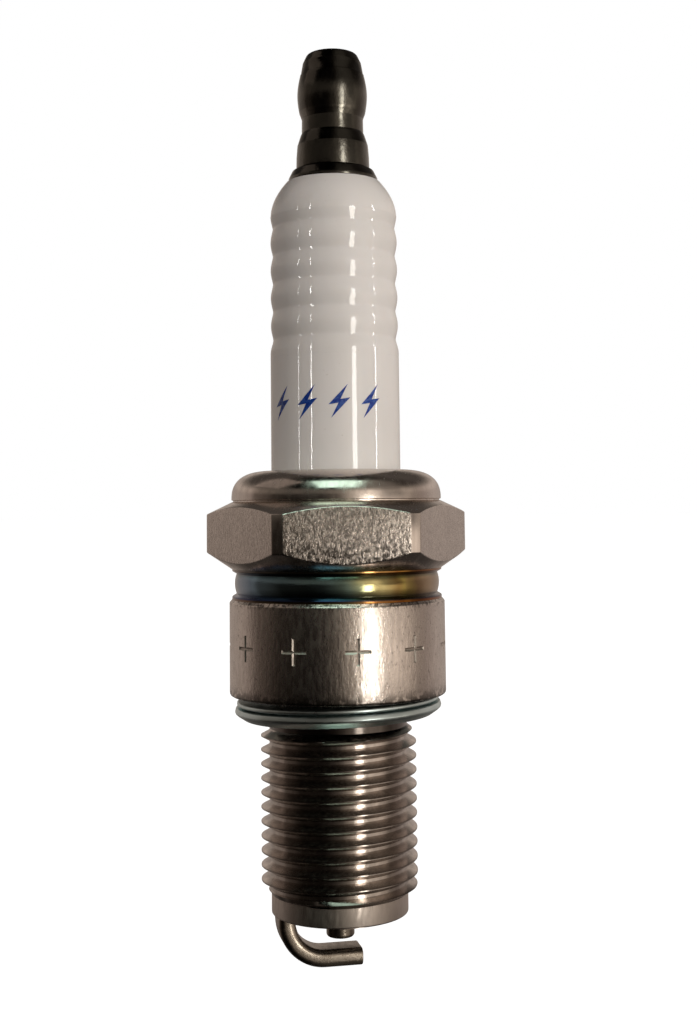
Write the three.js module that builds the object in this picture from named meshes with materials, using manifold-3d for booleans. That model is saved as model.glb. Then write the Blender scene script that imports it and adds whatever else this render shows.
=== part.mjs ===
// A 14 mm spark plug: copper core, no resistor, 19 mm reach, flat seat, captive crush gasket
// and a screwed-on terminal nut. Sizes are in millimetres. The origin is on the axis, in the
// plane of the shell's seat. +Z points to the terminal, -Z to the spark gap, -Y is the front.
import * as THREE from "three";
import { mergeVertices } from "three/addons/utils/BufferGeometryUtils.js";
import Module from "manifold-3d";

const wasm = await Module();
wasm.setup();

// Mesh fineness.
const SIDES = 32; // sides of every turned piece, which nested pieces share
const WELD = 1e-4; // vertices closer than this are one vertex
const RING_SIDES = 8; // sides of a packing ring's round section
const BEND_STEPS = 18; // steps along the ground electrode

// Clearances.
const FIT = 0.03; // between pieces that are pressed, packed or fused together
const SLIDE_FIT = 0.05; // round the terminal stud's thread, inside the nut
const GASKET_SIDE_FIT = 0.3; // between the gasket and the neck it hangs on
const GASKET_TOP_FIT = 0.12; // between the gasket and the seat
const FOOT_FIT = 0.08; // between the ground electrode's foot and the shell's end
const CONE_LIFT = 0.3; // between the insulator's cone and the shell's

// Thread and reach.
const THREAD_D = 14;
const THREAD_PITCH = 1.25;
const THREAD_ALLOWANCE = 0.05; // how far the crests stand under the nominal radius
const THREAD_DEPTH = 0.6134 * THREAD_PITCH;
const CREST_FLAT = THREAD_PITCH / 8;
const ROOT_FLAT = THREAD_PITCH / 4;
const THREAD_LEAD_IN = 0.55; // length of the chamfer at each end of the thread
const REACH = 19;
const NECK_LENGTH = 2.7; // plain neck under the seat, where the gasket hangs
const PILOT_LENGTH = 1.75; // plain ring at the end of the shell
const PILOT_STEP = 0.12; // how far the pilot ring stands under the thread's root
const CREST_R = THREAD_D / 2 - THREAD_ALLOWANCE;
const ROOT_R = CREST_R - THREAD_DEPTH;
const PILOT_R = ROOT_R - PILOT_STEP;

// Insulator outside.
const INSULATOR_R = 5.87;
const INSULATOR_TOP = 46.5; // height above the seat
const SHOULDER_DROP = 3.0; // height of the rounded shoulder at its top
const SHOULDER_IN = 1.5; // how far the shoulder comes in
const RIB_COUNT = 5;
const RIB_PITCH = 2.57;
const RIB_DEPTH = 0.3;
const RIB_SHAPE = [
  [1, 0],
  [0.25, 0.25],
  [0, 0.5],
  [0.25, 0.75],
]; // shares of the depth and the pitch, from each groove up
const RIBS_ABOVE_SHELL = 11.95; // from the crimp to the lowest groove
const SHELL_FIT = 0.08; // between the insulator and the crimped lip

// Packing between the insulator's shoulder and the crimp.
const PACKING_RING_D = 1.6;
const PACKING_FIT = 0.15; // what the packing space is wider than its rings
const RING_HEADROOM = 0.6; // share of the crimp's inner height that a ring may reach
const TALC_HEIGHT = 2.2;
const BOSS_EDGE = 0.3; // chamfer round the top of the insulator's boss

// Shell outside, stacked up from the seat.
const BARREL_HEIGHT = 8.5;
const GROOVE_HEIGHT = 2.6;
const HEX_HEIGHT = 6.1;
const CRIMP_HEIGHT = 2.75;
const HEX_ACROSS_FLATS = 20.8;
const HEX_CORNER_TURNED = 0.29; // how much the corners are turned down
const HEX_TURN = THREE.MathUtils.degToRad(5.4);
const HEX_TOP_CHAMFER = 1.1;
const HEX_BOTTOM_CHAMFER = 1.6;
const CRIMP_IN = 0.9; // how far the crimp stands in from the hexagon's flats
const LIP_WALL = 1.55;
const GROOVE_WALL = 1.55;
const GROOVE_LIP = 0.25;
const GROOVE_EDGE = 0.3;
const BARREL_STEP = 0.5; // how far the barrel stands out from the groove
const EDGE_CHAMFER = 0.3;

// Shell and insulator inside.
const THREAD_WALL = 0.85;
const RIM_WALL = 1.7;
const LEDGE_DEPTH = 1.1; // how far the ledge stands into the bore
const LEDGE_TOP = -7.2; // inner edge of the ledge's sealing cone
const LEDGE_HEIGHT = 2.2;
const CONE_SLOPE = 0.577; // rise per radius of the sealing cone, 30 degrees
const BORE_RUN_OUT = 1; // how far the bore cutter runs past the shell's ends
const BORE_STEP = 1.0; // where the bore starts to widen, above the seat
const WASHER_THICK = 0.35;
const NOSE_GAP = 0.35; // between the nose and the ledge
const NOSE_WALL = 1.1; // round the electrode at the nose's tip
const NOSE_PROJECTION = 0.7;
const NOSE_ROUND = 0.4;

// Electrodes and what joins them to the terminal.
const ELECTRODE_R = 1.25;
const TIP_PROJECTION = 2.2;
const TIP_CHAMFER = 0.25;
const CORE_R = 0.8;
const CORE_TO_TIP = 2.6;
const HEAD_R = 1.95;
const HEAD_THICK = 1.2;
const HEAD_TOP = -1.8;
const BORE_R = 2.3;
const GLASS_HEIGHT = 6.3;
const STUD_TIP_R = 1.5;
const STUD_TIP_DEPTH = 3.4; // how deep the stud's tip sits in the glass
const STUD_R = 2.05;
const FLANGE_R = 4.15;
const FLANGE_TAPER = 0.4;
const FLANGE_HEIGHT = 1.05;
const FLANGE_RIM = 0.35; // straight part of the flange's edge
const STUD_THREAD_R = 1.95;
const STUD_THREAD_LENGTH = 7.2;
const STUD_CHAMFER = 0.4;
const GAP = 0.8;
const BAR_THICK = 1.5;
const BAR_WIDE = 3.0;
const BAR_EDGE = 0.4;
const BAR_BEND_R = 3.4; // of the bar's middle line
const FOOT_INSET = 0.35; // of the bar's outer face from the shell's end rim
const ARM_PAST_AXIS = 2.0;
const ARM_TURN = THREE.MathUtils.degToRad(12); // the foot's place, from -X towards the front

// Terminal nut, a standard 6.35 mm post.
const POST_R = 3.175;
const POST_NECK_R = 2.82;
const POST_TOP_R = 2.7;
const SKIRT_R = 3.39;
const SKIRT_HEIGHT = 2.7;
const SKIRT_TAPER_HEIGHT = 0.65;
const NECK_HEIGHT = 1.6;
const BULGE_RISE = 1.4;
const BULGE_HEIGHT = 1.55;
const BULGE_FALL = 1.55;
const POST_RIM_HEIGHT = 1.55;
const POST_ROUND = 0.75;
const NECK_ROUND = 0.08; // how far the neck's ends stand out from its middle
const NUT_LIFT = 0.1; // thin groove between the nut and the flange
const NUT_BORE_END = 0.5; // free length past the stud's end

// Crush gasket, folded from strip.
const GASKET_IN = 0.45; // how far the gasket stands in from the barrel
const GASKET_THICK = 1.65;
const STRIP_THICK = 0.4;
const FOLD_GAP = 0.15;
const TOP_LIP_IN = 0.2; // how far the top lip stands in from the folds
const LAND_IN = 0.85; // how far the flat underside stands in from the folds

// Places worked out from the sizes above.
const PACKING_RING_R = PACKING_RING_D / 2;
const INSULATOR_BOSS_R = INSULATOR_R + PACKING_RING_D + PACKING_FIT;
const TOP_BORE_R = INSULATOR_BOSS_R + FIT;
const CRIMP_R = HEX_ACROSS_FLATS / 2 - CRIMP_IN;
const HEX_SHARP_R = HEX_ACROSS_FLATS / 2 / Math.cos(Math.PI / 6);
const HEX_CORNER_R = HEX_SHARP_R - HEX_CORNER_TURNED;
const LIP_BORE_R = INSULATOR_R + SHELL_FIT;
const GROOVE_R = TOP_BORE_R + GROOVE_WALL;
const BARREL_R = GROOVE_R + BARREL_STEP;
const GASKET_R = BARREL_R - GASKET_IN;
const HEX_BOTTOM = BARREL_HEIGHT + GROOVE_HEIGHT;
const HEX_TOP = HEX_BOTTOM + HEX_HEIGHT;
const SHELL_TOP = HEX_TOP + CRIMP_HEIGHT;
const MID_BORE_R = ROOT_R - THREAD_WALL;
const LEDGE_R = MID_BORE_R - LEDGE_DEPTH;
const RIM_BORE_R = PILOT_R - RIM_WALL;
const SHELL_END = -REACH;
const BORE_CONE_TOP = BORE_STEP + (TOP_BORE_R - MID_BORE_R);
const INSULATOR_MID_R = MID_BORE_R - FIT;
const CRIMP_INNER_HEIGHT = CRIMP_HEIGHT - LIP_WALL;
const UPPER_RING_Z = HEX_TOP + RING_HEADROOM * CRIMP_INNER_HEIGHT - PACKING_RING_R;
const RING_MIDDLE_R = (LIP_BORE_R + TOP_BORE_R) / 2;
const TALC_TOP = UPPER_RING_Z - PACKING_RING_R - FIT;
const TALC_BOTTOM = TALC_TOP - TALC_HEIGHT;
const LOWER_RING_Z = TALC_BOTTOM - FIT - PACKING_RING_R;
const BOSS_TOP = LOWER_RING_Z - PACKING_RING_R - FIT;
const BOSS_BOTTOM = BORE_CONE_TOP + CONE_LIFT;
const ELECTRODE_TIP = SHELL_END - TIP_PROJECTION;
const NOSE_END = SHELL_END - NOSE_PROJECTION;
const HEAD_BOTTOM = HEAD_TOP - HEAD_THICK;
const GLASS_BOTTOM = HEAD_TOP + FIT;
const GLASS_TOP = GLASS_BOTTOM + GLASS_HEIGHT;
const STUD_END = GLASS_TOP - STUD_TIP_DEPTH;
const FLANGE_BOTTOM = INSULATOR_TOP + FIT;
const FLANGE_TOP = FLANGE_BOTTOM + FLANGE_HEIGHT;
const STUD_TOP = FLANGE_TOP + STUD_THREAD_LENGTH;
const ARM_MIDDLE_Z = ELECTRODE_TIP - GAP - BAR_THICK / 2;
const FOOT_R = PILOT_R - FOOT_INSET - BAR_THICK / 2;
const FOOT_Z = SHELL_END - FOOT_FIT;

// Finishes.
const nickelPlate = { color: 0x9a8f88, roughness: 0.35, metalness: 1 };
const glazedAlumina = { color: 0xeeeae6, roughness: 0.15, metalness: 0 };
const darkPlate = { color: 0x3b3734, roughness: 0.3, metalness: 1 };
const zincPlate = { color: 0x8d9a9b, roughness: 0.35, metalness: 1 };
const nickelAlloy = { color: 0x6b625a, roughness: 0.4, metalness: 1 };
const copper = { color: 0xb87345, roughness: 0.35, metalness: 1 };
const steel = { color: 0x85837f, roughness: 0.45, metalness: 1 };
const glassSeal = { color: 0x3a3230, roughness: 0.5, metalness: 0.2 };
const talc = { color: 0xdcd8cc, roughness: 0.95, metalness: 0 };

// A closed geometry as a manifold-3d solid.
function solidOf(geometry) {
  const bare = geometry.clone();
  bare.deleteAttribute("normal");
  bare.deleteAttribute("uv");
  const merged = mergeVertices(bare, WELD);
  return new wasm.Manifold(
    new wasm.Mesh({
      numProp: 3,
      vertProperties: merged.attributes.position.array,
      triVerts: new Uint32Array(merged.index.array),
    }),
  );
}

// A manifold-3d solid as a three.js geometry.
function geometryOf(solid) {
  const mesh = solid.getMesh();
  const places = new Float32Array(mesh.numVert * 3);
  for (let i = 0; i < mesh.numVert; i++) {
    places.set(mesh.vertProperties.subarray(i * mesh.numProp, i * mesh.numProp + 3), i * 3);
  }
  const geometry = new THREE.BufferGeometry();
  geometry.setAttribute("position", new THREE.BufferAttribute(places, 3));
  geometry.setIndex(new THREE.BufferAttribute(mesh.triVerts, 1));
  geometry.computeVertexNormals();
  return geometry;
}

function piece(name, geometry, finish) {
  const mesh = new THREE.Mesh(geometry, new THREE.MeshStandardMaterial(finish));
  mesh.name = name;
  return mesh;
}

// A piece turned about the axis. The outline is a list of [radius, height], up the outside
// and down the inside. One that neither starts nor ends on the axis is closed into a ring.
function turned(outline) {
  const points = outline.map(([r, z]) => new THREE.Vector2(r, z));
  const first = points[0];
  const last = points[points.length - 1];
  if (first.x > 0 || last.x > 0) {
    points.push(first.clone());
  }
  const geometry = new THREE.LatheGeometry(points, SIDES);
  geometry.rotateX(Math.PI / 2);
  return geometry;
}

// Points on a quarter of an ellipse, from the widest place up and in to the top.
function quarterRound(middleR, bottomZ, width, height, steps) {
  const points = [];
  for (let i = 0; i <= steps; i++) {
    const angle = (i / steps) * (Math.PI / 2);
    points.push([middleR + width * Math.cos(angle), bottomZ + height * Math.sin(angle)]);
  }
  return points;
}

// A right-hand external thread. One row of points is the profile along one place of the
// circle, and each column stands a little higher than the one before, so that after a full
// turn the profile meets itself one pitch up. The two ends are fans to the axis.
function threadedRod(crestR, pitch, depth, crestFlat, rootFlat, bottom, top) {
  const rootR = crestR - depth;
  const flank = (pitch - crestFlat - rootFlat) / 2;
  const profile = [
    [rootR, 0],
    [rootR, rootFlat],
    [crestR, rootFlat + flank],
    [crestR, rootFlat + flank + crestFlat],
  ];
  const perTurn = profile.length;
  const turns = Math.ceil((top - bottom) / pitch) + 2;
  const start = bottom - 2 * pitch;
  const rows = perTurn * turns + 1;
  const places = [];
  for (let column = 0; column < SIDES; column++) {
    const angle = (column / SIDES) * 2 * Math.PI;
    for (let row = 0; row < rows + perTurn; row++) {
      const [r, rise] = profile[row % perTurn];
      const z = start + (Math.floor(row / perTurn) + column / SIDES) * pitch + rise;
      places.push(r * Math.sin(angle), -r * Math.cos(angle), z);
    }
  }
  const stride = rows + perTurn;
  const at = (row, column) => (column < SIDES ? column * stride + row : row + perTurn);
  const faces = [];
  for (let column = 0; column < SIDES; column++) {
    for (let row = 0; row < rows - 1; row++) {
      const a = at(row, column);
      const b = at(row, column + 1);
      const c = at(row + 1, column + 1);
      const d = at(row + 1, column);
      faces.push(a, b, c, a, c, d);
    }
  }
  const endRow = rows - 1;
  const bottomCentre = places.length / 3;
  places.push(0, 0, start);
  const topCentre = bottomCentre + 1;
  places.push(0, 0, start + (turns + 1) * pitch);
  for (let column = 0; column < SIDES; column++) {
    faces.push(bottomCentre, at(0, column + 1), at(0, column));
    faces.push(topCentre, at(endRow, column), at(endRow, column + 1));
  }
  for (let row = 0; row < perTurn; row++) {
    faces.push(bottomCentre, at(row, 0), at(row + 1, 0));
    faces.push(topCentre, at(endRow + row + 1, 0), at(endRow + row, 0));
  }
  const used = [...new Set(faces)].sort((p, q) => p - q);
  const renumbered = new Map(used.map((old, index) => [old, index]));
  const kept = new Float32Array(used.flatMap((old) => places.slice(old * 3, old * 3 + 3)));
  const geometry = new THREE.BufferGeometry();
  geometry.setAttribute("position", new THREE.BufferAttribute(kept, 3));
  geometry.setIndex(faces.map((old) => renumbered.get(old)));
  return geometry;
}

// The thread, cut to length by a blank with a chamfer at each end.
function shellThread() {
  const top = -NECK_LENGTH;
  const bottom = SHELL_END + PILOT_LENGTH;
  const blank = turned([
    [0, bottom],
    [ROOT_R, bottom],
    [CREST_R + FIT, bottom + THREAD_LEAD_IN],
    [CREST_R + FIT, top - THREAD_LEAD_IN],
    [ROOT_R, top],
    [0, top],
  ]);
  const rod = threadedRod(
    CREST_R,
    THREAD_PITCH,
    THREAD_DEPTH,
    CREST_FLAT,
    ROOT_FLAT,
    bottom,
    top,
  );
  return solidOf(rod).intersect(solidOf(blank));
}

// The hexagon, with its corners turned down and chamfered on both ends.
function shellHexagon() {
  const outline = new THREE.Shape();
  for (let corner = 0; corner < 6; corner++) {
    const angle = HEX_TURN + (corner * Math.PI) / 3;
    const x = HEX_SHARP_R * Math.cos(angle);
    const y = HEX_SHARP_R * Math.sin(angle);
    if (corner === 0) {
      outline.moveTo(x, y);
    } else {
      outline.lineTo(x, y);
    }
  }
  const prism = new THREE.ExtrudeGeometry(outline, { depth: HEX_HEIGHT, bevelEnabled: false });
  prism.translate(0, 0, HEX_BOTTOM);
  const blank = turned([
    [0, HEX_BOTTOM],
    [CRIMP_R, HEX_BOTTOM],
    [HEX_CORNER_R, HEX_BOTTOM + HEX_BOTTOM_CHAMFER],
    [HEX_CORNER_R, HEX_TOP - HEX_TOP_CHAMFER],
    [CRIMP_R, HEX_TOP],
    [0, HEX_TOP],
  ]);
  return solidOf(prism).intersect(solidOf(blank));
}

// The shell's turned body: pilot ring, core of the thread, seat, barrel, groove and crimp.
function shellBody() {
  const grooveBottom = BARREL_HEIGHT;
  const lipR = GROOVE_R + GROOVE_LIP;
  return turned([
    [0, SHELL_END],
    [PILOT_R - EDGE_CHAMFER / 2, SHELL_END],
    [PILOT_R, SHELL_END + EDGE_CHAMFER / 2],
    [PILOT_R, SHELL_END + PILOT_LENGTH],
    [ROOT_R, SHELL_END + PILOT_LENGTH + PILOT_STEP],
    [ROOT_R, 0],
    [BARREL_R - EDGE_CHAMFER, 0],
    [BARREL_R, EDGE_CHAMFER],
    [BARREL_R, grooveBottom - EDGE_CHAMFER],
    [lipR, grooveBottom],
    [lipR, grooveBottom + GROOVE_EDGE],
    [GROOVE_R, grooveBottom + GROOVE_EDGE + GROOVE_LIP],
    [GROOVE_R, HEX_BOTTOM - GROOVE_EDGE],
    [lipR, HEX_BOTTOM],
    [CRIMP_R, HEX_BOTTOM + GROOVE_LIP],
    ...quarterRound(LIP_BORE_R, HEX_TOP, CRIMP_R - LIP_BORE_R, CRIMP_HEIGHT, 7),
    [0, SHELL_TOP],
  ]);
}

// The bore through the shell: open at the gap, the sealing ledge, the wide part that holds
// the insulator's boss and the packing, and the curl of the crimp over them.
function shellBore() {
  const ledgeOuterZ = LEDGE_TOP + LEDGE_DEPTH * CONE_SLOPE;
  return turned([
    [0, SHELL_END - BORE_RUN_OUT],
    [RIM_BORE_R, SHELL_END - BORE_RUN_OUT],
    [RIM_BORE_R, LEDGE_TOP - LEDGE_HEIGHT - (RIM_BORE_R - LEDGE_R)],
    [LEDGE_R, LEDGE_TOP - LEDGE_HEIGHT],
    [LEDGE_R, LEDGE_TOP],
    [MID_BORE_R, ledgeOuterZ],
    [MID_BORE_R, BORE_STEP],
    [TOP_BORE_R, BORE_CONE_TOP],
    ...quarterRound(LIP_BORE_R, HEX_TOP, TOP_BORE_R - LIP_BORE_R, CRIMP_INNER_HEIGHT, 4),
    [LIP_BORE_R, SHELL_TOP + BORE_RUN_OUT],
    [0, SHELL_TOP + BORE_RUN_OUT],
  ]);
}

function shell() {
  const outside = solidOf(shellBody()).add(shellThread()).add(shellHexagon());
  return geometryOf(outside.subtract(solidOf(shellBore())));
}

// The insulator's ribs: from each groove the wall swells out and comes back in.
function ribPoints() {
  const points = [];
  const lowest = SHELL_TOP + RIBS_ABOVE_SHELL;
  for (let rib = 0; rib < RIB_COUNT; rib++) {
    const z = lowest + rib * RIB_PITCH;
    for (const [depthShare, pitchShare] of RIB_SHAPE) {
      points.push([INSULATOR_R - RIB_DEPTH * depthShare, z + RIB_PITCH * pitchShare]);
    }
  }
  return points;
}

function insulator() {
  const noseRootR = LEDGE_R - NOSE_GAP;
  const noseTipR = ELECTRODE_R + NOSE_WALL;
  const holeR = ELECTRODE_R + FIT;
  const seatRise = WASHER_THICK + 2 * FIT;
  const seatOuterZ = LEDGE_TOP + (INSULATOR_MID_R - LEDGE_R) * CONE_SLOPE + seatRise;
  const seatInnerZ = seatOuterZ - (INSULATOR_MID_R - noseRootR) * CONE_SLOPE;
  const headSeatZ = HEAD_BOTTOM - FIT;
  const ribs = ribPoints();
  const shoulderBottom = Math.max(INSULATOR_TOP - SHOULDER_DROP, ribs[ribs.length - 1][1] + FIT);
  return turned([
    [holeR, NOSE_END],
    [noseTipR - NOSE_ROUND, NOSE_END],
    [noseTipR, NOSE_END + NOSE_ROUND],
    [noseRootR, LEDGE_TOP - LEDGE_HEIGHT],
    [noseRootR, seatInnerZ],
    [INSULATOR_MID_R, seatOuterZ],
    [INSULATOR_MID_R, BORE_STEP + CONE_LIFT],
    [INSULATOR_BOSS_R, BOSS_BOTTOM],
    [INSULATOR_BOSS_R, BOSS_TOP - BOSS_EDGE],
    [INSULATOR_BOSS_R - BOSS_EDGE, BOSS_TOP],
    [INSULATOR_R, BOSS_TOP],
    [INSULATOR_R, SHELL_TOP + RIBS_ABOVE_SHELL - RIB_PITCH / 2],
    ...ribs,
    ...quarterRound(
      INSULATOR_R - SHOULDER_IN,
      shoulderBottom,
      SHOULDER_IN,
      INSULATOR_TOP - shoulderBottom,
      4,
    ),
    [BORE_R, INSULATOR_TOP],
    [BORE_R, headSeatZ],
    [holeR, headSeatZ],
  ]);
}

// A packing ring of round wire, at a height.
function packingRing(z) {
  const points = [];
  for (let i = 0; i < RING_SIDES; i++) {
    const angle = ((i + 0.5) / RING_SIDES) * 2 * Math.PI;
    const r = RING_MIDDLE_R + PACKING_RING_R * Math.cos(angle);
    points.push([r, z + PACKING_RING_R * Math.sin(angle)]);
  }
  return turned(points);
}

function talcPacking() {
  return turned([
    [INSULATOR_R + FIT, TALC_BOTTOM],
    [TOP_BORE_R - FIT, TALC_BOTTOM],
    [TOP_BORE_R - FIT, TALC_TOP],
    [INSULATOR_R + FIT, TALC_TOP],
  ]);
}

// The flat ring squeezed between the insulator's cone and the shell's ledge.
function seatWasher() {
  const innerR = LEDGE_R + FIT;
  const outerR = MID_BORE_R - 2 * FIT;
  const onLedge = (r) => LEDGE_TOP + (r - LEDGE_R) * CONE_SLOPE + FIT;
  return turned([
    [innerR, onLedge(innerR)],
    [outerR, onLedge(outerR)],
    [outerR, onLedge(outerR) + WASHER_THICK],
    [innerR, onLedge(innerR) + WASHER_THICK],
  ]);
}

// The crush gasket: strip folded over twice into three layers. The top slot opens outwards
// and the lower one inwards.
function crushGasket() {
  const innerR = ROOT_R + GASKET_SIDE_FIT;
  const round = STRIP_THICK / 2;
  const top = -GASKET_TOP_FIT;
  const bottom = top - GASKET_THICK;
  const outwardSlotTop = top - STRIP_THICK;
  const outwardSlotBottom = outwardSlotTop - FOLD_GAP;
  const inwardSlotBottom = bottom + STRIP_THICK;
  const inwardSlotTop = inwardSlotBottom + FOLD_GAP;
  return turned([
    [innerR + round, bottom],
    [GASKET_R - LAND_IN, bottom],
    [GASKET_R - round, inwardSlotBottom - round],
    [GASKET_R, (inwardSlotTop + outwardSlotBottom) / 2],
    [GASKET_R - round, outwardSlotBottom],
    [innerR + STRIP_THICK, outwardSlotBottom],
    [innerR + STRIP_THICK, outwardSlotTop],
    [GASKET_R - TOP_LIP_IN - round, outwardSlotTop],
    [GASKET_R - TOP_LIP_IN, top - round],
    [GASKET_R - TOP_LIP_IN - round, top],
    [innerR + round, top],
    [innerR, top - round],
    [innerR, inwardSlotTop],
    [GASKET_R - LAND_IN - STRIP_THICK, inwardSlotTop],
    [GASKET_R - LAND_IN - STRIP_THICK, inwardSlotBottom],
    [innerR + round, inwardSlotBottom],
    [innerR, bottom + round],
  ]);
}

// The centre electrode's sheath: a pin with a head, bored from the top for its core.
function electrodeSheath() {
  return turned([
    [0, ELECTRODE_TIP],
    [ELECTRODE_R - TIP_CHAMFER, ELECTRODE_TIP],
    [ELECTRODE_R, ELECTRODE_TIP + TIP_CHAMFER],
    [ELECTRODE_R, HEAD_BOTTOM],
    [HEAD_R, HEAD_BOTTOM],
    [HEAD_R, HEAD_TOP],
    [CORE_R + FIT, HEAD_TOP],
    [CORE_R + FIT, ELECTRODE_TIP + CORE_TO_TIP - FIT],
    [0, ELECTRODE_TIP + CORE_TO_TIP - FIT],
  ]);
}

function electrodeCore() {
  return turned([
    [0, ELECTRODE_TIP + CORE_TO_TIP],
    [CORE_R, ELECTRODE_TIP + CORE_TO_TIP],
    [CORE_R, HEAD_TOP],
    [0, HEAD_TOP],
  ]);
}

// The conductive glass, fused round the stud's tip.
function glassPlug() {
  return turned([
    [0, GLASS_BOTTOM],
    [BORE_R - FIT, GLASS_BOTTOM],
    [BORE_R - FIT, GLASS_TOP],
    [STUD_TIP_R + FIT, GLASS_TOP],
    [STUD_TIP_R + FIT, STUD_END - FIT],
    [0, STUD_END - FIT],
  ]);
}

function terminalStud() {
  return turned([
    [0, STUD_END],
    [STUD_TIP_R, STUD_END],
    [STUD_TIP_R, GLASS_TOP + FIT],
    [STUD_R, GLASS_TOP + FIT],
    [STUD_R, FLANGE_BOTTOM],
    [FLANGE_R, FLANGE_BOTTOM],
    [FLANGE_R, FLANGE_BOTTOM + FLANGE_RIM],
    [FLANGE_R - FLANGE_TAPER, FLANGE_TOP],
    [STUD_THREAD_R, FLANGE_TOP],
    [STUD_THREAD_R, STUD_TOP - STUD_CHAMFER],
    [STUD_THREAD_R - STUD_CHAMFER, STUD_TOP],
    [0, STUD_TOP],
  ]);
}

// The terminal nut: skirt, neck, and the rounded post that a lead's clip snaps over.
function terminalNut() {
  const boreR = STUD_THREAD_R + SLIDE_FIT;
  const skirtBottom = FLANGE_TOP + NUT_LIFT;
  const skirtTop = skirtBottom + SKIRT_HEIGHT;
  const neckBottom = skirtTop + SKIRT_TAPER_HEIGHT;
  const neckTop = neckBottom + NECK_HEIGHT;
  const bulgeBottom = neckTop + BULGE_RISE;
  const bulgeTop = bulgeBottom + BULGE_HEIGHT;
  const rimBottom = bulgeTop + BULGE_FALL;
  const rimTop = rimBottom + POST_RIM_HEIGHT - POST_ROUND;
  return turned([
    [boreR, skirtBottom],
    [SKIRT_R - NUT_LIFT, skirtBottom],
    [SKIRT_R, skirtBottom + NUT_LIFT],
    [SKIRT_R, skirtTop],
    [POST_NECK_R + NECK_ROUND, neckBottom],
    [POST_NECK_R, neckBottom + NECK_HEIGHT / 2],
    [POST_NECK_R + NECK_ROUND, neckTop],
    [POST_R, bulgeBottom],
    [POST_R, bulgeTop],
    [POST_TOP_R + NECK_ROUND, rimBottom],
    ...quarterRound(POST_TOP_R - POST_ROUND, rimTop, POST_ROUND, POST_ROUND, 3),
    [0, rimTop + POST_ROUND],
    [0, STUD_TOP + NUT_BORE_END],
    [boreR, STUD_TOP + NUT_BORE_END],
  ]);
}

// The middle line of the ground electrode: down from its foot, round the bend and across
// under the centre electrode.
class BentBar extends THREE.Curve {
  constructor() {
    super();
    this.leg = FOOT_Z - (ARM_MIDDLE_Z + BAR_BEND_R);
    this.bend = (BAR_BEND_R * Math.PI) / 2;
    this.arm = FOOT_R - BAR_BEND_R + ARM_PAST_AXIS;
  }

  getPoint(share, target = new THREE.Vector3()) {
    const along = share * (this.leg + this.bend + this.arm);
    if (along < this.leg) {
      return target.set(-FOOT_R, 0, FOOT_Z - along);
    }
    if (along < this.leg + this.bend) {
      const angle = (along - this.leg) / BAR_BEND_R;
      const x = -FOOT_R + BAR_BEND_R * (1 - Math.cos(angle));
      return target.set(x, 0, ARM_MIDDLE_Z + BAR_BEND_R * (1 - Math.sin(angle)));
    }
    return target.set(-FOOT_R + BAR_BEND_R + along - this.leg - this.bend, 0, ARM_MIDDLE_Z);
  }
}

function groundElectrode() {
  const x = BAR_WIDE / 2;
  const y = BAR_THICK / 2;
  const section = new THREE.Shape();
  section.moveTo(x - BAR_EDGE, -y);
  section.lineTo(x, -y + BAR_EDGE);
  section.lineTo(x, y - BAR_EDGE);
  section.lineTo(x - BAR_EDGE, y);
  section.lineTo(-x + BAR_EDGE, y);
  section.lineTo(-x, y - BAR_EDGE);
  section.lineTo(-x, -y + BAR_EDGE);
  section.lineTo(-x + BAR_EDGE, -y);
  const path = new BentBar();
  const bar = new THREE.ExtrudeGeometry(section, { steps: BEND_STEPS, extrudePath: path });
  bar.rotateZ(ARM_TURN);
  return bar;
}

const plug = new THREE.Group();
plug.add(piece("shell", shell(), nickelPlate));
plug.add(piece("insulator", insulator(), glazedAlumina));
plug.add(piece("upper_packing_ring", packingRing(UPPER_RING_Z), steel));
plug.add(piece("talc_packing", talcPacking(), talc));
plug.add(piece("lower_packing_ring", packingRing(LOWER_RING_Z), steel));
plug.add(piece("seat_washer", seatWasher(), copper));
plug.add(piece("centre_electrode", electrodeSheath(), nickelAlloy));
plug.add(piece("copper_core", electrodeCore(), copper));
plug.add(piece("glass_seal", glassPlug(), glassSeal));
plug.add(piece("terminal_stud", terminalStud(), darkPlate));
plug.add(piece("terminal_nut", terminalNut(), darkPlate));
plug.add(piece("crush_gasket", crushGasket(), zincPlate));
plug.add(piece("ground_electrode", groundElectrode(), nickelAlloy));

export default plug;
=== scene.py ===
# %% [markdown]
# # A spark plug, built round its engineering frame
#
# This lesson dresses a spark plug that has already been designed. The design comes in as
# a fixed frame of simple solids with their joints. Here we replace the pieces that show
# with finely turned meshes, and give every piece a finish made from shader nodes.
# Everything is in metres. +Z runs along the plug to its terminal, and -Y is the front.

import math

import bmesh
import bpy
import numpy as np
from mathutils import Matrix, Vector


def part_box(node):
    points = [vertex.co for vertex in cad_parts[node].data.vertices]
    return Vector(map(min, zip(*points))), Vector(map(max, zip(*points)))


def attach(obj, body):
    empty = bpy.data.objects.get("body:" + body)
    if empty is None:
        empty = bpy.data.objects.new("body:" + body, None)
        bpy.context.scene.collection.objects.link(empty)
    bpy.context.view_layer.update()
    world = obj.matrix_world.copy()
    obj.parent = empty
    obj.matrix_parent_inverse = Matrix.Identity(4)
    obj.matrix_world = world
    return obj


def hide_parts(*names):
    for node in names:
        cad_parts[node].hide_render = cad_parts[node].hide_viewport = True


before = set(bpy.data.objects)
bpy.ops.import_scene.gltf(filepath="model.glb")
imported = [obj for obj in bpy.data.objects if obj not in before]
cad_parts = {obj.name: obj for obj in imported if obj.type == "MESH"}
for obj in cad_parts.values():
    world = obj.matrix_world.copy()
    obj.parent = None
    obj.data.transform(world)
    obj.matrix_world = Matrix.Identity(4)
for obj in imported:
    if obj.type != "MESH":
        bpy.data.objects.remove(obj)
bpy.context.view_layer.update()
MM = 0.001
print("nodes in the frame:", ", ".join(sorted(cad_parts)))

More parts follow.
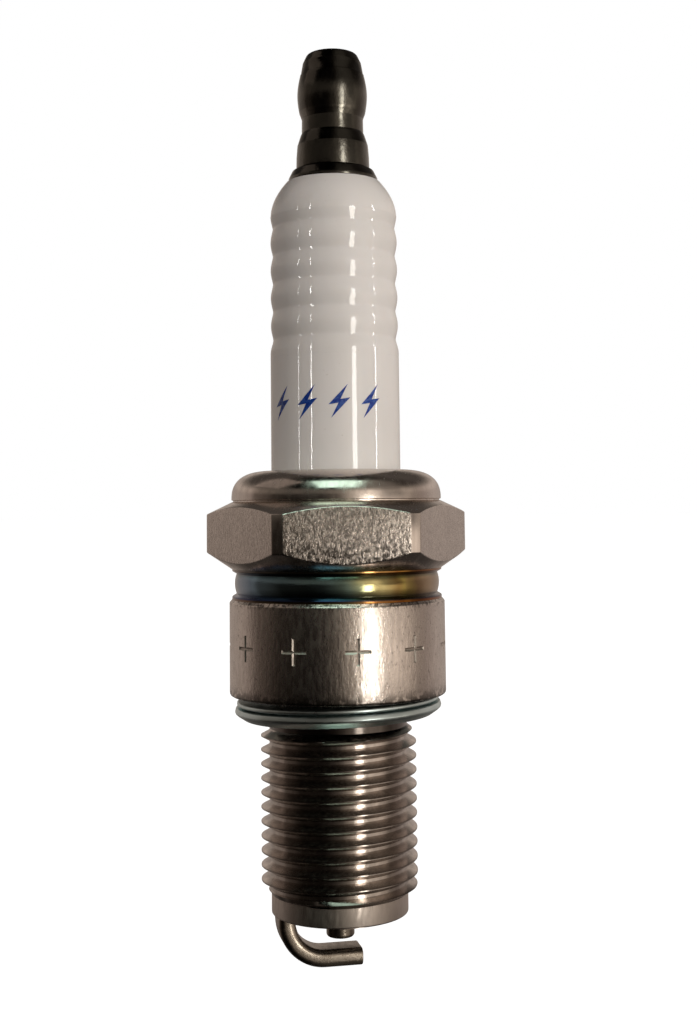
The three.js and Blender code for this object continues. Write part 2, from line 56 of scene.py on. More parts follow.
# %% [markdown]
# The places that matter are read from the frame, so that a change of design carries
# through: where the shell, the insulator, the stud and the nut start and end. The helper
# gives a node's radius and its lowest and highest point in millimetres.


# %% Read the driving places
def span(node):
    """A turned node's largest radius, lowest height and highest height, in millimetres."""
    low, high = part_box(node)
    return high.x / MM, low.z / MM, high.z / MM


SHELL_END = span("shell")[1]
SHELL_TOP = span("shell")[2]
BOSS_R, NOSE_END, INSULATOR_TOP = span("insulator")
FLANGE_R, STUD_END, STUD_TOP = span("terminal_stud")
SKIRT_R, NUT_BOTTOM, NUT_TOP = span("terminal_nut")
GASKET_R, GASKET_BOTTOM, GASKET_TOP = span("crush_gasket")
HEAD_R, ELECTRODE_TIP, HEAD_TOP = span("centre_electrode")
ARM_BOTTOM = span("ground_electrode")[1]
print(f"shell from {SHELL_END:.2f} to {SHELL_TOP:.2f} mm, terminal at {NUT_TOP:.2f} mm")

# %% [markdown]
# ## Camera
#
# The camera stands close, level with the crimp, and looks up by five degrees. A close
# camera makes the round shoulders read as ellipses, as they do in the hand. A vertical
# shift frames the plug without tilting the camera further, and a small roll lets the
# plug lean to the left.

# %% Place the camera
CAMERA_DISTANCE = 0.1340
CAMERA_HEIGHT = 0.01660
CAMERA_SIDE = 0.00124
CAMERA_PITCH = math.radians(5.0)
CAMERA_ROLL = math.radians(0.62)
LENS = 51.64
SHIFT_Y = -0.130
NEAREST_SEEN = 0.01
FARTHEST_SEEN = 20.0

camera = bpy.data.objects.new("camera", bpy.data.cameras.new("camera"))
bpy.context.scene.collection.objects.link(camera)
bpy.context.scene.camera = camera
camera.data.lens = LENS
camera.data.shift_y = SHIFT_Y
camera.data.clip_start = NEAREST_SEEN
camera.data.clip_end = FARTHEST_SEEN
tilt = Matrix.Rotation(math.radians(90) + CAMERA_PITCH, 4, "X")
roll = Matrix.Rotation(-CAMERA_ROLL, 4, "Z")
place = Matrix.Translation((CAMERA_SIDE, -CAMERA_DISTANCE, CAMERA_HEIGHT))
camera.matrix_world = place @ tilt @ roll
print(f"camera {CAMERA_DISTANCE * 1000:.0f} mm away, lens {LENS} mm")

# %% [markdown]
# ## Light
#
# Bare metal shows its surroundings and hardly anything else, so the light is a room
# rather than a lamp. The room could be a picture wrapped round the scene, but a colour
# worked out from the direction is easier to steer. It runs round the horizon: dark in
# front on the left, bright on the right, and a warm grey behind.

# %% The room's colours
ROOM = [  # degrees round from the front towards +X, and the linear colour seen there
    (-180, (0.40, 0.34, 0.30)),
    (-125, (0.40, 0.34, 0.30)),
    (-108, (0.37, 0.305, 0.27)),
    (-99, (0.12, 0.095, 0.08)),
    (-80, (0.075, 0.058, 0.048)),
    (-66, (0.018, 0.014, 0.011)),
    (-30, (0.009, 0.007, 0.006)),
    (-14, (0.020, 0.016, 0.014)),
    (-2, (0.07, 0.058, 0.048)),
    (8, (0.17, 0.145, 0.12)),
    (18, (0.50, 0.43, 0.36)),
    (28, (1.0, 0.89, 0.76)),
    (50, (1.12, 0.98, 0.84)),
    (66, (1.05, 0.91, 0.78)),
    (78, (0.78, 0.66, 0.56)),
    (90, (0.30, 0.25, 0.21)),
    (106, (0.31, 0.25, 0.22)),
    (128, (0.50, 0.43, 0.39)),
    (180, (0.40, 0.34, 0.30)),
]
PALE = (1.0, 1.0, 1.0, 1.0)
print(f"room colour has {len(ROOM)} stops round the horizon")

# %% [markdown]
# Every shader below is built from the same few moves: add a node, wire it, do a sum, run
# a value through a colour ramp, or mix two colours. A helper for each keeps the recipes
# short, and takes either a socket or a plain value.


# %% Helpers for shader nodes
def add(tree, kind, **values):
    """Adds a node, sets its settings, and returns it."""
    node = tree.nodes.new(kind)
    for name, value in values.items():
        setattr(node, name, value)
    return node


def wire(tree, source, target):
    """Joins an output socket, or sets a plain value, to an input socket."""
    if isinstance(source, bpy.types.NodeSocket):
        tree.links.new(source, target)
    else:
        target.default_value = source


def sums(tree, operation, *values, clamp=False):
    """A Math node on sockets or plain numbers."""
    node = add(tree, "ShaderNodeMath", operation=operation, use_clamp=clamp)
    for value, socket in zip(values, node.inputs):
        wire(tree, value, socket)
    return node.outputs[0]


def ramp(tree, factor, stops, smooth="LINEAR"):
    """A Color Ramp from a list of (place, colour) stops."""
    node = add(tree, "ShaderNodeValToRGB")
    node.color_ramp.interpolation = smooth
    elements = node.color_ramp.elements
    while len(elements) < len(stops):
        elements.new(0.5)
    for element, (place_on_ramp, colour) in zip(elements, stops):
        element.position = place_on_ramp
        element.color = (*colour, 1.0) if len(colour) == 3 else colour
    wire(tree, factor, node.inputs["Fac"])
    return node.outputs["Color"]


def blended(tree, kind, factor, first, second):
    """A colour Mix node of the given blend kind."""
    node = add(tree, "ShaderNodeMix", data_type="RGBA", blend_type=kind)
    wire(tree, factor, node.inputs["Factor"])
    wire(tree, first, node.inputs["A"])
    wire(tree, second, node.inputs["B"])
    return node.outputs["Result"]


print("shader helpers ready")

# %% [markdown]
# The direction's angle round the plug picks the room's colour. Its height then dims that
# colour, so that metal which leans up or down sees a darker ceiling and floor.

# %% The room round the plug
ABOVE_AND_BELOW = [  # share of the way from straight down to straight up, and brightness
    (0.0, 0.05),
    (0.22, 0.12),
    (0.34, 0.55),
    (0.39, 0.9),
    (0.42, 1.0),
    (0.65, 1.0),
    (0.70, 0.33),
    (0.76, 0.16),
    (0.94, 0.18),
    (0.97, 0.06),
    (1.0, 0.05),
]


def greys(stops):
    """Stops whose colours are greys, from (place, brightness) pairs."""
    return [(at, (level, level, level)) for at, level in stops]


world = bpy.data.worlds.new("room")
bpy.context.scene.world = world
world.use_nodes = True
tree = world.node_tree
tree.nodes.clear()
direction = add(tree, "ShaderNodeTexCoord").outputs["Generated"]
parts = add(tree, "ShaderNodeSeparateXYZ")
wire(tree, direction, parts.inputs[0])
toward_front = sums(tree, "MULTIPLY", parts.outputs["Y"], -1.0)
angle = sums(tree, "ARCTAN2", parts.outputs["X"], toward_front)
turn_share = sums(tree, "MULTIPLY_ADD", angle, 0.5 / math.pi, 0.5)
horizon = ramp(tree, turn_share, [(d / 360 + 0.5, c) for d, c in ROOM])
height_share = sums(tree, "MULTIPLY_ADD", parts.outputs["Z"], 0.5, 0.5)
by_height = ramp(tree, height_share, greys(ABOVE_AND_BELOW))
lit_room = blended(tree, "MULTIPLY", 1.0, horizon, by_height)
print("room lit by direction")

# %% [markdown]
# Two touches finish the room. A grey card stands in its bright part, above the horizon,
# and shades what leans upward. A faint warm glow runs all round above it, so that the
# threads' upper flanks are never black. What the camera sees behind the plug is plain.

# %% The card, the glow and the backdrop
CARD_ROUND = [(0.0, 1.0), (0.622, 1.0), (0.65, 0.25), (0.711, 0.25), (0.739, 1.0), (1.0, 1.0)]
CARD_UPWARD = [(0.0, 0.0), (0.506, 0.0), (0.535, 1.0), (0.70, 1.0), (0.75, 0.0), (1.0, 0.0)]
DARK = (0.0, 0.0, 0.0)
GLOW = (0.11, 0.095, 0.08)
GLOW_UPWARD = [(0.0, DARK), (0.57, DARK), (0.60, GLOW), (0.70, GLOW), (0.76, DARK), (1.0, DARK)]

card_round = ramp(tree, turn_share, greys(CARD_ROUND))
card_upward = ramp(tree, height_share, greys(CARD_UPWARD))
card = blended(tree, "MIX", card_upward, PALE, card_round)
carded_room = blended(tree, "MULTIPLY", 1.0, lit_room, card)
upper_glow = ramp(tree, height_share, GLOW_UPWARD)
room_colour = blended(tree, "ADD", 1.0, carded_room, upper_glow)
is_camera = add(tree, "ShaderNodeLightPath").outputs["Is Camera Ray"]
seen = blended(tree, "MIX", is_camera, room_colour, PALE)
background = add(tree, "ShaderNodeBackground")
wire(tree, seen, background.inputs["Color"])
output = add(tree, "ShaderNodeOutputWorld")
wire(tree, background.outputs[0], output.inputs["Surface"])
print("room shaded by a card, and glowing above it")

# %% [markdown]
# A soft window right of the camera is the main light. Panels are area lights, placed by
# their angle round the plug and their angles above the horizon, so that each can be
# aimed at the place where its reflection is wanted.

# %% A helper to hang a panel of light
LIGHT_REACH = 0.6  # metres from the plug to each light
AIM = Vector((0, 0, CAMERA_HEIGHT))


def strip(name, turn, low, high, width, radiance, colour):
    """A panel at an angle round from the front, between two angles above the horizon."""
    light = bpy.data.lights.new(name, "AREA")
    light.shape = "RECTANGLE"
    light.size = 2 * LIGHT_REACH * math.tan(math.radians(width) / 2)
    light.size_y = 2 * LIGHT_REACH * math.tan(math.radians(high - low) / 2)
    light.energy = radiance * math.pi * light.size * light.size_y
    light.color = colour
    lamp = bpy.data.objects.new(name, light)
    bpy.context.scene.collection.objects.link(lamp)
    round_by = math.radians(turn)
    lift = math.radians((low + high) / 2)
    away = Vector(
        (
            math.sin(round_by) * math.cos(lift),
            -math.cos(round_by) * math.cos(lift),
            math.sin(lift),
        )
    )
    lamp.location = AIM + away * LIGHT_REACH
    lamp.rotation_mode = "QUATERNION"
    lamp.rotation_quaternion = away.to_track_quat("Z", "Y")
    lamp.visible_camera = False
    return lamp


def only_for(lamp, receivers):
    """Lets a light reach only the pieces in one collection."""
    lamp.light_linking.receiver_collection = receivers


print("panels hang", LIGHT_REACH, "m from the plug")

# %% [markdown]
# One window can't suit every finish, so light linking splits it. Its lower part lights
# everything, and the ceramic and the terminal each get an upper part of their own. A
# cool panel overhead lights only the shell, where it shows in the rounded crimp. Three
# thin strips draw fine lines on the glaze, and would grey the metal. Two broad lights
# that shiny surfaces don't mirror lift the white ceramic, from the front and from behind.

# %% The window, the panels and the strips
strip("window", 35, -22, 2.5, 9.5, 8.2, (1.0, 0.96, 0.88))
strip("left_high_panel", -88, 28, 62, 40, 0.24, (1.0, 0.83, 0.72))
overhead = strip("overhead_panel", 3, 34, 72, 40, 1.9, (0.71, 1.0, 0.86))
overhead.visible_diffuse = False
shell_only = bpy.data.collections.new("plated shell")
only_for(overhead, shell_only)
soft_key = strip("soft_key", 32, -20, 50, 76, 0.86, (1.0, 0.985, 0.985))
back_fill = strip("back_fill", 160, -10, 50, 90, 0.5, (1.0, 0.985, 0.97))
for broad in (soft_key, back_fill):
    broad.visible_glossy = False
glazed_only = bpy.data.collections.new("glazed pieces")
terminal_only = bpy.data.collections.new("terminal pieces")
only_for(strip("glaze_window", 35, 2.5, 15, 8.0, 8.5, (1.0, 0.98, 0.94)), glazed_only)
only_for(strip("terminal_window", 34, 2.5, 23, 9.0, 8.0, (1.0, 0.98, 0.92)), terminal_only)
THIN_STRIPS = {  # turn, low and high angle, width and radiance
    "right_strip": (78, -2, 25, 1.3, 22.0),
    "left_strip": (-42, -2, 25, 1.3, 18.0),
    "far_left_strip": (-67, -2, 25, 1.1, 11.0),
}
for name, (turn, low, high, width, radiance) in THIN_STRIPS.items():
    only_for(strip(name, turn, low, high, width, radiance, (1.0, 0.98, 0.96)), glazed_only)

# %% [markdown]
# The floor is a wide pale disc just under the plug. It glows nearly white, so that it
# stays plain and pale however dark the room is, and meets the backdrop without a line.
# Only the camera sees it, because a white floor would flatten the metal's contrast.

# %% The floor
FLOOR_GAP = 0.0006
FLOOR_RADIUS = 6.0
FLOOR_COLOUR = (0.50, 0.505, 0.51, 1.0)
FLOOR_GLOW = 0.955

floor_mesh = bpy.data.meshes.new("floor")
disc = bmesh.new()
bmesh.ops.create_circle(disc, cap_ends=True, radius=FLOOR_RADIUS, segments=96)
disc.to_mesh(floor_mesh)
disc.free()
floor = bpy.data.objects.new("floor", floor_mesh)
bpy.context.scene.collection.objects.link(floor)
floor.location.z = ARM_BOTTOM * MM - FLOOR_GAP
floor.visible_glossy = False
floor.visible_diffuse = False
floor_finish = bpy.data.materials.new("pale_floor")
floor_finish.use_nodes = True
tree = floor_finish.node_tree
shader = tree.nodes["Principled BSDF"]
shader.inputs["Base Color"].default_value = FLOOR_COLOUR
shader.inputs["Roughness"].default_value = 0.9
shader.inputs["Specular IOR Level"].default_value = 0.0
shader.inputs["Emission Color"].default_value = PALE
shader.inputs["Emission Strength"].default_value = FLOOR_GLOW
floor_mesh.materials.append(floor_finish)
bpy.context.scene.view_settings.view_transform = "Standard"
print(f"floor {FLOOR_RADIUS * 2:.0f} m wide")

# %% [markdown]
# ## Shared effects
#
# Several finishes need the same few effects: a grain that can be stretched along the
# plug or round it, a mask for worn edges and dirty hollows, and the place on the plug as
# height and angle. Each is a node group, built once, with named inputs and outputs.


# %% A helper to start a node group
def group(name, inputs, outputs):
    """A shader node group with float inputs (name, value) and outputs (name, kind)."""
    made = bpy.data.node_groups.new(name, "ShaderNodeTree")
    for label, value in inputs:
        kind = "NodeSocketFloat" if isinstance(value, float) else "NodeSocketColor"
        socket = made.interface.new_socket(label, in_out="INPUT", socket_type=kind)
        socket.default_value = value
    for label, kind in outputs:
        made.interface.new_socket(label, in_out="OUTPUT", socket_type=kind)
    return made, add(made, "NodeGroupInput"), add(made, "NodeGroupOutput")


def use(tree, made, **values):
    """Places a node group in a tree and wires its inputs by name."""
    node = add(tree, "ShaderNodeGroup", node_tree=made)
    for label, value in values.items():
        wire(tree, value, node.inputs[label.replace("_", " ")])
    return node.outputs


# %% [markdown]
# The grain group is a noise in the object's own space. Its Along input squeezes or
# stretches the noise along the plug. A large value gives rings, as a lathe leaves, and a
# small value gives streaks that run lengthwise, as drawing and tumbling leave.

# %% The grain group
grain, ins, outs = group(
    "grain",
    [("Size", 0.2), ("Along", 1.0), ("Detail", 4.0), ("Low", 0.35), ("High", 0.65), ("Seed", 0.0)],
    [("Mask", "NodeSocketFloat")],
)
where = add(grain, "ShaderNodeTexCoord").outputs["Object"]
shape = add(grain, "ShaderNodeCombineXYZ")
wire(grain, 1.0, shape.inputs["X"])
wire(grain, 1.0, shape.inputs["Y"])
wire(grain, ins.outputs["Along"], shape.inputs["Z"])
stretched = add(grain, "ShaderNodeVectorMath", operation="MULTIPLY")
wire(grain, where, stretched.inputs[0])
wire(grain, shape.outputs[0], stretched.inputs[1])
noise = add(grain, "ShaderNodeTexNoise", noise_dimensions="4D")
wire(grain, stretched.outputs[0], noise.inputs["Vector"])
wire(grain, ins.outputs["Seed"], noise.inputs["W"])
wire(grain, sums(grain, "DIVIDE", 1000.0, ins.outputs["Size"]), noise.inputs["Scale"])
wire(grain, ins.outputs["Detail"], noise.inputs["Detail"])
spread = add(grain, "ShaderNodeMapRange")
wire(grain, noise.outputs["Fac"], spread.inputs["Value"])
wire(grain, ins.outputs["Low"], spread.inputs["From Min"])
wire(grain, ins.outputs["High"], spread.inputs["From Max"])
wire(grain, spread.outputs["Result"], outs.inputs["Mask"])
print("grain group:", [s.name for s in grain.interface.items_tree])

# %% [markdown]
# Plating wears thin on edges and dirt stays in hollows. The Pointiness of the surface
# tells them apart. A little noise breaks the line up, because wear is never even.

# %% The wear group
wear, ins, outs = group(
    "wear",
    [("Edge Start", 0.52), ("Edge Full", 0.60), ("Breakup", 0.3), ("Size", 0.3)],
    [("Edges", "NodeSocketFloat"), ("Hollows", "NodeSocketFloat")],
)
HOLLOW_START = 0.485  # pointiness where dirt starts to gather
HOLLOW_FULL = 0.42
point = add(wear, "ShaderNodeNewGeometry").outputs["Pointiness"]
broken = use(wear, grain, Size=ins.outputs["Size"], Low=0.3, High=0.7)["Mask"]
shaken = sums(wear, "MULTIPLY", sums(wear, "SUBTRACT", broken, 0.5), ins.outputs["Breakup"])
edge_range = add(wear, "ShaderNodeMapRange")
wire(wear, point, edge_range.inputs["Value"])
wire(wear, ins.outputs["Edge Start"], edge_range.inputs["From Min"])
wire(wear, ins.outputs["Edge Full"], edge_range.inputs["From Max"])
edges = sums(wear, "ADD", edge_range.outputs["Result"], shaken, clamp=True)
wire(wear, sums(wear, "MULTIPLY", edges, edge_range.outputs["Result"]), outs.inputs["Edges"])
hollow_range = add(wear, "ShaderNodeMapRange")
wire(wear, point, hollow_range.inputs["Value"])
wire(wear, HOLLOW_START, hollow_range.inputs["From Min"])
wire(wear, HOLLOW_FULL, hollow_range.inputs["From Max"])
wire(wear, hollow_range.outputs["Result"], outs.inputs["Hollows"])
print("wear group made")

# %% [markdown]
# The last shared effect says where on the plug a point is: its height in millimetres,
# its distance from the axis, and its angle round from the front as a share of a turn.

# %% The place group
place_on_plug, ins, outs = group(
    "place_on_plug",
    [],
    [("Height", "NodeSocketFloat"), ("Radius", "NodeSocketFloat"), ("Turn", "NodeSocketFloat")],
)
where = add(place_on_plug, "ShaderNodeTexCoord").outputs["Object"]
axes = add(place_on_plug, "ShaderNodeSeparateXYZ")
wire(place_on_plug, where, axes.inputs[0])
x, y, z = axes.outputs
wire(place_on_plug, sums(place_on_plug, "MULTIPLY", z, 1000.0), outs.inputs["Height"])
x_squared = sums(place_on_plug, "MULTIPLY", x, x)
y_squared = sums(place_on_plug, "MULTIPLY", y, y)
squares = sums(place_on_plug, "ADD", x_squared, y_squared)
radius_mm = sums(place_on_plug, "MULTIPLY", sums(place_on_plug, "SQRT", squares), 1000.0)
wire(place_on_plug, radius_mm, outs.inputs["Radius"])
angle = sums(place_on_plug, "ARCTAN2", x, sums(place_on_plug, "MULTIPLY", y, -1.0))
turned_by = sums(place_on_plug, "MULTIPLY_ADD", angle, 0.5 / math.pi, 0.5)
wire(place_on_plug, turned_by, outs.inputs["Turn"])
print("place group made")


# %% [markdown]
# ## Finishes
#
# Every material is a Principled shader with its own colour, roughness and bump. The
# helper starts one and returns its tree and shader, so that each finish below reads as a
# short recipe.


# %% A helper to start a material
def finish(name, metallic, roughness):
    """A new material, its node tree and its Principled shader."""
    made = bpy.data.materials.new(name)
    made.use_nodes = True
    principled = made.node_tree.nodes["Principled BSDF"]
    principled.inputs["Metallic"].default_value = metallic
    principled.inputs["Roughness"].default_value = roughness
    return made, made.node_tree, principled


def bump(tree, principled, mask, depth):
    """Raises the surface by a mask of 0 to 1, whose full depth is in millimetres."""
    node = add(tree, "ShaderNodeBump")
    node.inputs["Strength"].default_value = 1.0
    node.inputs["Distance"].default_value = depth * MM
    wire(tree, mask, node.inputs["Height"])
    wire(tree, node.outputs["Normal"], principled.inputs["Normal"])


def between(tree, mask, low, high):
    """Maps a mask of 0 to 1 onto a range of values."""
    return sums(tree, "MULTIPLY_ADD", mask, high - low, low)


def faded(tree, value, full, none):
    """A mask of 1 where a value is at full, falling to 0 where it is at none."""
    node = add(tree, "ShaderNodeMapRange", interpolation_type="SMOOTHSTEP")
    wire(tree, value, node.inputs["Value"])
    wire(tree, full, node.inputs["From Min"])
    wire(tree, none, node.inputs["From Max"])
    return sums(tree, "SUBTRACT", 1.0, node.outputs["Result"])


print("material helpers ready")

# %% [markdown]
# Nickel plate over turned steel. The barrel carries lengthwise streaks and pits from
# tumbling under the plate, which break the window's reflection into fibres. One flat
# metal colour would look like plastic, so it is clouded, pitted with grime, dirty in the
# hollows and rubbed bright on the edges, and its roughness follows the streaks.


# %% The recipe for nickel plate
NICKEL = (0.69, 0.62, 0.567, 1.0)
NICKEL_DULL = (0.54, 0.483, 0.446, 1.0)
NICKEL_BRIGHT = (0.88, 0.80, 0.735, 1.0)
# This dark colour is grime, and also the thread's painted shade in its roots and neck.
SOIL_AND_SHADE = (0.043, 0.036, 0.032, 1.0)
HOLLOW_DIRT = 0.75
EDGE_RUB = 0.4


def nickel_plate(
    name, streak_depth, streak_size, roughness, along=0.32, pits=0.5, pit_from=0.66, grime_and_shade=None
):
    """Plated steel with lengthwise streaks, whose depth and size are in millimetres."""
    made, tree, principled = finish(name, 1.0, roughness)
    fibres = use(tree, grain, Size=streak_size, Along=along, Detail=5.0, Low=0.3, High=0.7)
    fine = use(tree, grain, Size=streak_size * 0.35, Along=along * 1.5, Detail=3.0, Seed=4.0)
    cloudy = use(tree, grain, Size=1.6, Along=0.45, Detail=4.0, Low=0.35, High=0.65, Seed=9.0)
    fibre_share = sums(tree, "MULTIPLY", fibres["Mask"], 0.35)
    cloud_share = sums(tree, "MULTIPLY_ADD", cloudy["Mask"], 0.4, fibre_share)
    colour = blended(tree, "MIX", cloud_share, NICKEL, NICKEL_DULL)
    pit_full = pit_from + 0.06
    pit = use(tree, grain, Size=0.2, Along=0.7, Detail=2.0, Low=pit_from, High=pit_full, Seed=2.0)
    colour = blended(tree, "MIX", sums(tree, "MULTIPLY", pit["Mask"], pits), colour, SOIL_AND_SHADE)
    worn = use(tree, wear, Breakup=0.35, Size=0.25)
    hollow_share = sums(tree, "MULTIPLY", worn["Hollows"], HOLLOW_DIRT)
    colour = blended(tree, "MIX", hollow_share, colour, SOIL_AND_SHADE)
    rubbed_share = sums(tree, "MULTIPLY", worn["Edges"], EDGE_RUB)
    colour = blended(tree, "MIX", rubbed_share, colour, NICKEL_BRIGHT)
    # The extra mask mixes in grime on the barrel and hexagon, and painted shade on the thread.
    if grime_and_shade is not None:
        colour = blended(tree, "MIX", grime_and_shade(tree), colour, SOIL_AND_SHADE)
    wire(tree, colour, principled.inputs["Base Color"])
    rough = between(tree, fibres["Mask"], roughness - 0.06, roughness + 0.10)
    wire(tree, rough, principled.inputs["Roughness"])
    depth = sums(tree, "MULTIPLY_ADD", fine["Mask"], 0.35, fibres["Mask"])
    bump(tree, principled, depth, streak_depth)
    return made


print("plating recipe ready")

# %% [markdown]
# Each part of the shell is darkened in its own way: the barrel by grime along its edges,
# the thread by painted shade in its roots and on its neck under the gasket, and the
# hexagon by grime on the flat that a socket has gripped. Each gets a small function that
# gives a mask, which the plating recipe above mixes in as a dark colour.

# %% Grime for the barrel and the hexagon, painted shade for the thread
FRONT_FLAT_TURN = 0.515  # share of a turn where the front flat faces
FLAT_HALF_TURN = 0.078  # and how far it reaches either side


def barrel_soil(tree):
    """Blotches of grime along the barrel's lower edge, and flecks along its upper one."""
    spot = use(tree, place_on_plug)
    blotches = use(tree, grain, Size=0.6, Along=1.3, Detail=4.0, Low=0.39, High=0.5, Seed=15.0)
    flecks = use(tree, grain, Size=0.3, Along=1.0, Detail=3.0, Low=0.52, High=0.6, Seed=17.0)
    low_edge = faded(tree, spot["Height"], 0.1, 1.3)
    high_edge = sums(tree, "SUBTRACT", 1.0, faded(tree, spot["Height"], 7.75, 8.4))
    low_share = sums(tree, "MULTIPLY", blotches["Mask"], low_edge)
    high_share = sums(tree, "MULTIPLY", flecks["Mask"], high_edge)
    return sums(tree, "MULTIPLY", sums(tree, "MAXIMUM", low_share, high_share), 0.8)


def thread_painted_shade(tree):
    """Painted shade in the thread's roots, broken up by noise, and on its neck under the gasket.
    """
    spot = use(tree, place_on_plug)
    shade_breakup = use(tree, grain, Size=1.2, Along=1.0, Detail=3.0, Low=0.2, High=0.6, Seed=19.0)
    # Painted shade: darker in the roots, and on the neck under the gasket.
    in_roots = faded(tree, spot["Radius"], 6.3, 6.82)
    root_shade_share = between(tree, shade_breakup["Mask"], 0.1, 0.5)
    at_neck = sums(tree, "GREATER_THAN", spot["Height"], -2.9)
    neck_shade_share = sums(tree, "MULTIPLY", at_neck, 0.9)
    return sums(tree, "MULTIPLY", in_roots, sums(tree, "MAXIMUM", root_shade_share, neck_shade_share))


def hexagon_soil(tree):
    """Bruises and specks on the flat that tools grip, crowding towards its lower edge."""
    spot = use(tree, place_on_plug)
    blotches = use(tree, grain, Size=0.27, Along=0.75, Detail=4.0, Low=0.44, High=0.56, Seed=21.0)
    from_front = sums(tree, "ABSOLUTE", sums(tree, "SUBTRACT", spot["Turn"], FRONT_FLAT_TURN))
    gripped = faded(tree, from_front, FLAT_HALF_TURN, FLAT_HALF_TURN + 0.006)
    low_edge = faded(tree, spot["Height"], 11.9, 14.6)
    front_share = between(tree, low_edge, 0.5, 1.0)
    gripped_share = sums(tree, "MULTIPLY", gripped, front_share)
    share = sums(tree, "MULTIPLY_ADD", gripped_share, 0.85, 0.1)
    return sums(tree, "MULTIPLY", blotches["Mask"], share)


print("soil masks ready")

# %% [markdown]
# Now the plates themselves. The crimp and the thread were formed smooth, so their
# streaks are faint and their shine is sharp. The hexagon's flats are coarse from the
# tumbling barrel, and the stamped crosses are dull at the bottom.

# %% The nickel plates
barrel_plate = nickel_plate(
    "barrel_plate", 0.009, 0.32, 0.25, pits=0.5, pit_from=0.62, grime_and_shade=barrel_soil
)
crimp_plate = nickel_plate("crimp_plate", 0.002, 0.5, 0.19, pits=0.1)
# This mask paints shade into the thread's roots and onto its neck under the gasket.
thread_plate = nickel_plate("thread_plate", 0.002, 0.3, 0.17, pits=0.15, grime_and_shade=thread_painted_shade)
hexagon_plate = nickel_plate(
    "hexagon_plate", 0.014, 0.16, 0.25, along=0.6, pits=0.2, pit_from=0.6, grime_and_shade=hexagon_soil
)
pilot_plate = nickel_plate("pilot_plate", 0.003, 0.3, 0.42, pits=0.2)
stamped_plate = nickel_plate("stamped_plate", 0.004, 0.2, 0.42, pits=0.3)
print("nickel plates made")

# %% [markdown]
# The groove under the hexagon is heated to shrink the shell tight, and the heat leaves a
# thin oxide film. Its colour follows how hot each place became, as on any tempered
# steel: straw, bronze, then blue. Here it runs from blue on the left through green to
# gold and copper on the right, with a blue and copper line where the heat ended.

# %% Heat tint
TINT_ROUND = [  # share of a turn, and colour of the film there
    (0.0, (0.45, 0.34, 0.26)),
    (0.26, (0.30, 0.32, 0.34)),
    (0.314, (0.24, 0.29, 0.36)),
    (0.352, (0.15, 0.21, 0.27)),
    (0.39, (0.20, 0.30, 0.36)),
    (0.44, (0.26, 0.37, 0.39)),
    (0.49, (0.28, 0.43, 0.42)),
    (0.514, (0.23, 0.33, 0.28)),
    (0.533, (0.27, 0.29, 0.17)),
    (0.552, (0.40, 0.36, 0.18)),
    (0.566, (0.50, 0.43, 0.20)),
    (0.585, (0.36, 0.27, 0.11)),
    (0.60, (0.30, 0.20, 0.07)),
    (0.612, (0.42, 0.33, 0.10)),
    (0.63, (0.28, 0.19, 0.10)),
    (0.653, (0.36, 0.26, 0.16)),
    (0.70, (0.34, 0.25, 0.17)),
    (0.85, (0.42, 0.32, 0.25)),
    (1.0, (0.45, 0.34, 0.26)),
]
TINT_ACROSS = [  # share of the way up the groove, and what the film is multiplied by
    (0.0, (0.75, 0.42, 0.26)),
    (0.10, (0.62, 0.30, 0.16)),
    (0.15, (0.10, 0.13, 0.32)),
    (0.21, (0.30, 0.40, 0.62)),
    (0.30, (1.0, 1.0, 1.0)),
    (0.72, (1.0, 1.0, 1.0)),
    (0.80, (0.52, 0.62, 0.60)),
    (0.86, (0.45, 0.30, 0.36)),
    (0.92, (0.74, 0.46, 0.32)),
    (1.0, (0.8, 0.6, 0.48)),
]
SCALE = (0.05, 0.035, 0.03, 1.0)  # burnt oil in the corners
GROOVE_MIDDLE = SHELL_TOP - 10.15  # height of the groove's middle
TINT_HALF = 1.5  # how far the film reaches either side of it

heat_tint, tree, shader = finish("heat_tint", 1.0, 0.12)
spot = use(tree, place_on_plug)
wobble = use(tree, grain, Size=2.5, Along=1.0, Detail=2.0, Seed=3.0)
turn_less = sums(tree, "SUBTRACT", spot["Turn"], 0.01)
shifted = sums(tree, "MULTIPLY_ADD", wobble["Mask"], 0.02, turn_less)
film = ramp(tree, shifted, TINT_ROUND)
from_middle = sums(tree, "SUBTRACT", spot["Height"], GROOVE_MIDDLE)
across = sums(tree, "MULTIPLY_ADD", from_middle, 0.5 / TINT_HALF, 0.5)
line_tint = ramp(tree, across, TINT_ACROSS)
tinted = blended(tree, "MULTIPLY", 1.0, film, line_tint)
worn = use(tree, wear, Breakup=0.3, Size=0.3)
scale_share = sums(tree, "MULTIPLY", worn["Hollows"], 0.6)
soiled = blended(tree, "MIX", scale_share, tinted, SCALE)
wire(tree, soiled, shader.inputs["Base Color"])
rings = use(tree, grain, Size=0.8, Along=9.0, Detail=3.0, Seed=6.0)
wire(tree, between(tree, rings["Mask"], 0.12, 0.2), shader.inputs["Roughness"])
bump(tree, shader, rings["Mask"], 0.001)
print("heat tint made")

# %% [markdown]
# The insulator is alumina under a clear glaze: a warm white body that light enters a
# little, and a smooth hard surface with a faint ripple, strongest over the ribs. The
# nose inside the shell is bare and matt, so the roughness changes with height.

# %% Glazed alumina
CERAMIC_PALE = (0.83, 0.795, 0.765, 1.0)
CERAMIC_SHADE = (0.79, 0.755, 0.72, 1.0)
FRECKLE = (0.45, 0.40, 0.35, 1.0)
GLAZE_FROM = 2.0  # the height where the glaze starts
RIPPLE_FROM = 30.2  # the height where its ripple grows
BARE_ROUGH = 0.55
GLAZE_ROUGH = 0.035
RIPPLE_DEPTH = 0.013

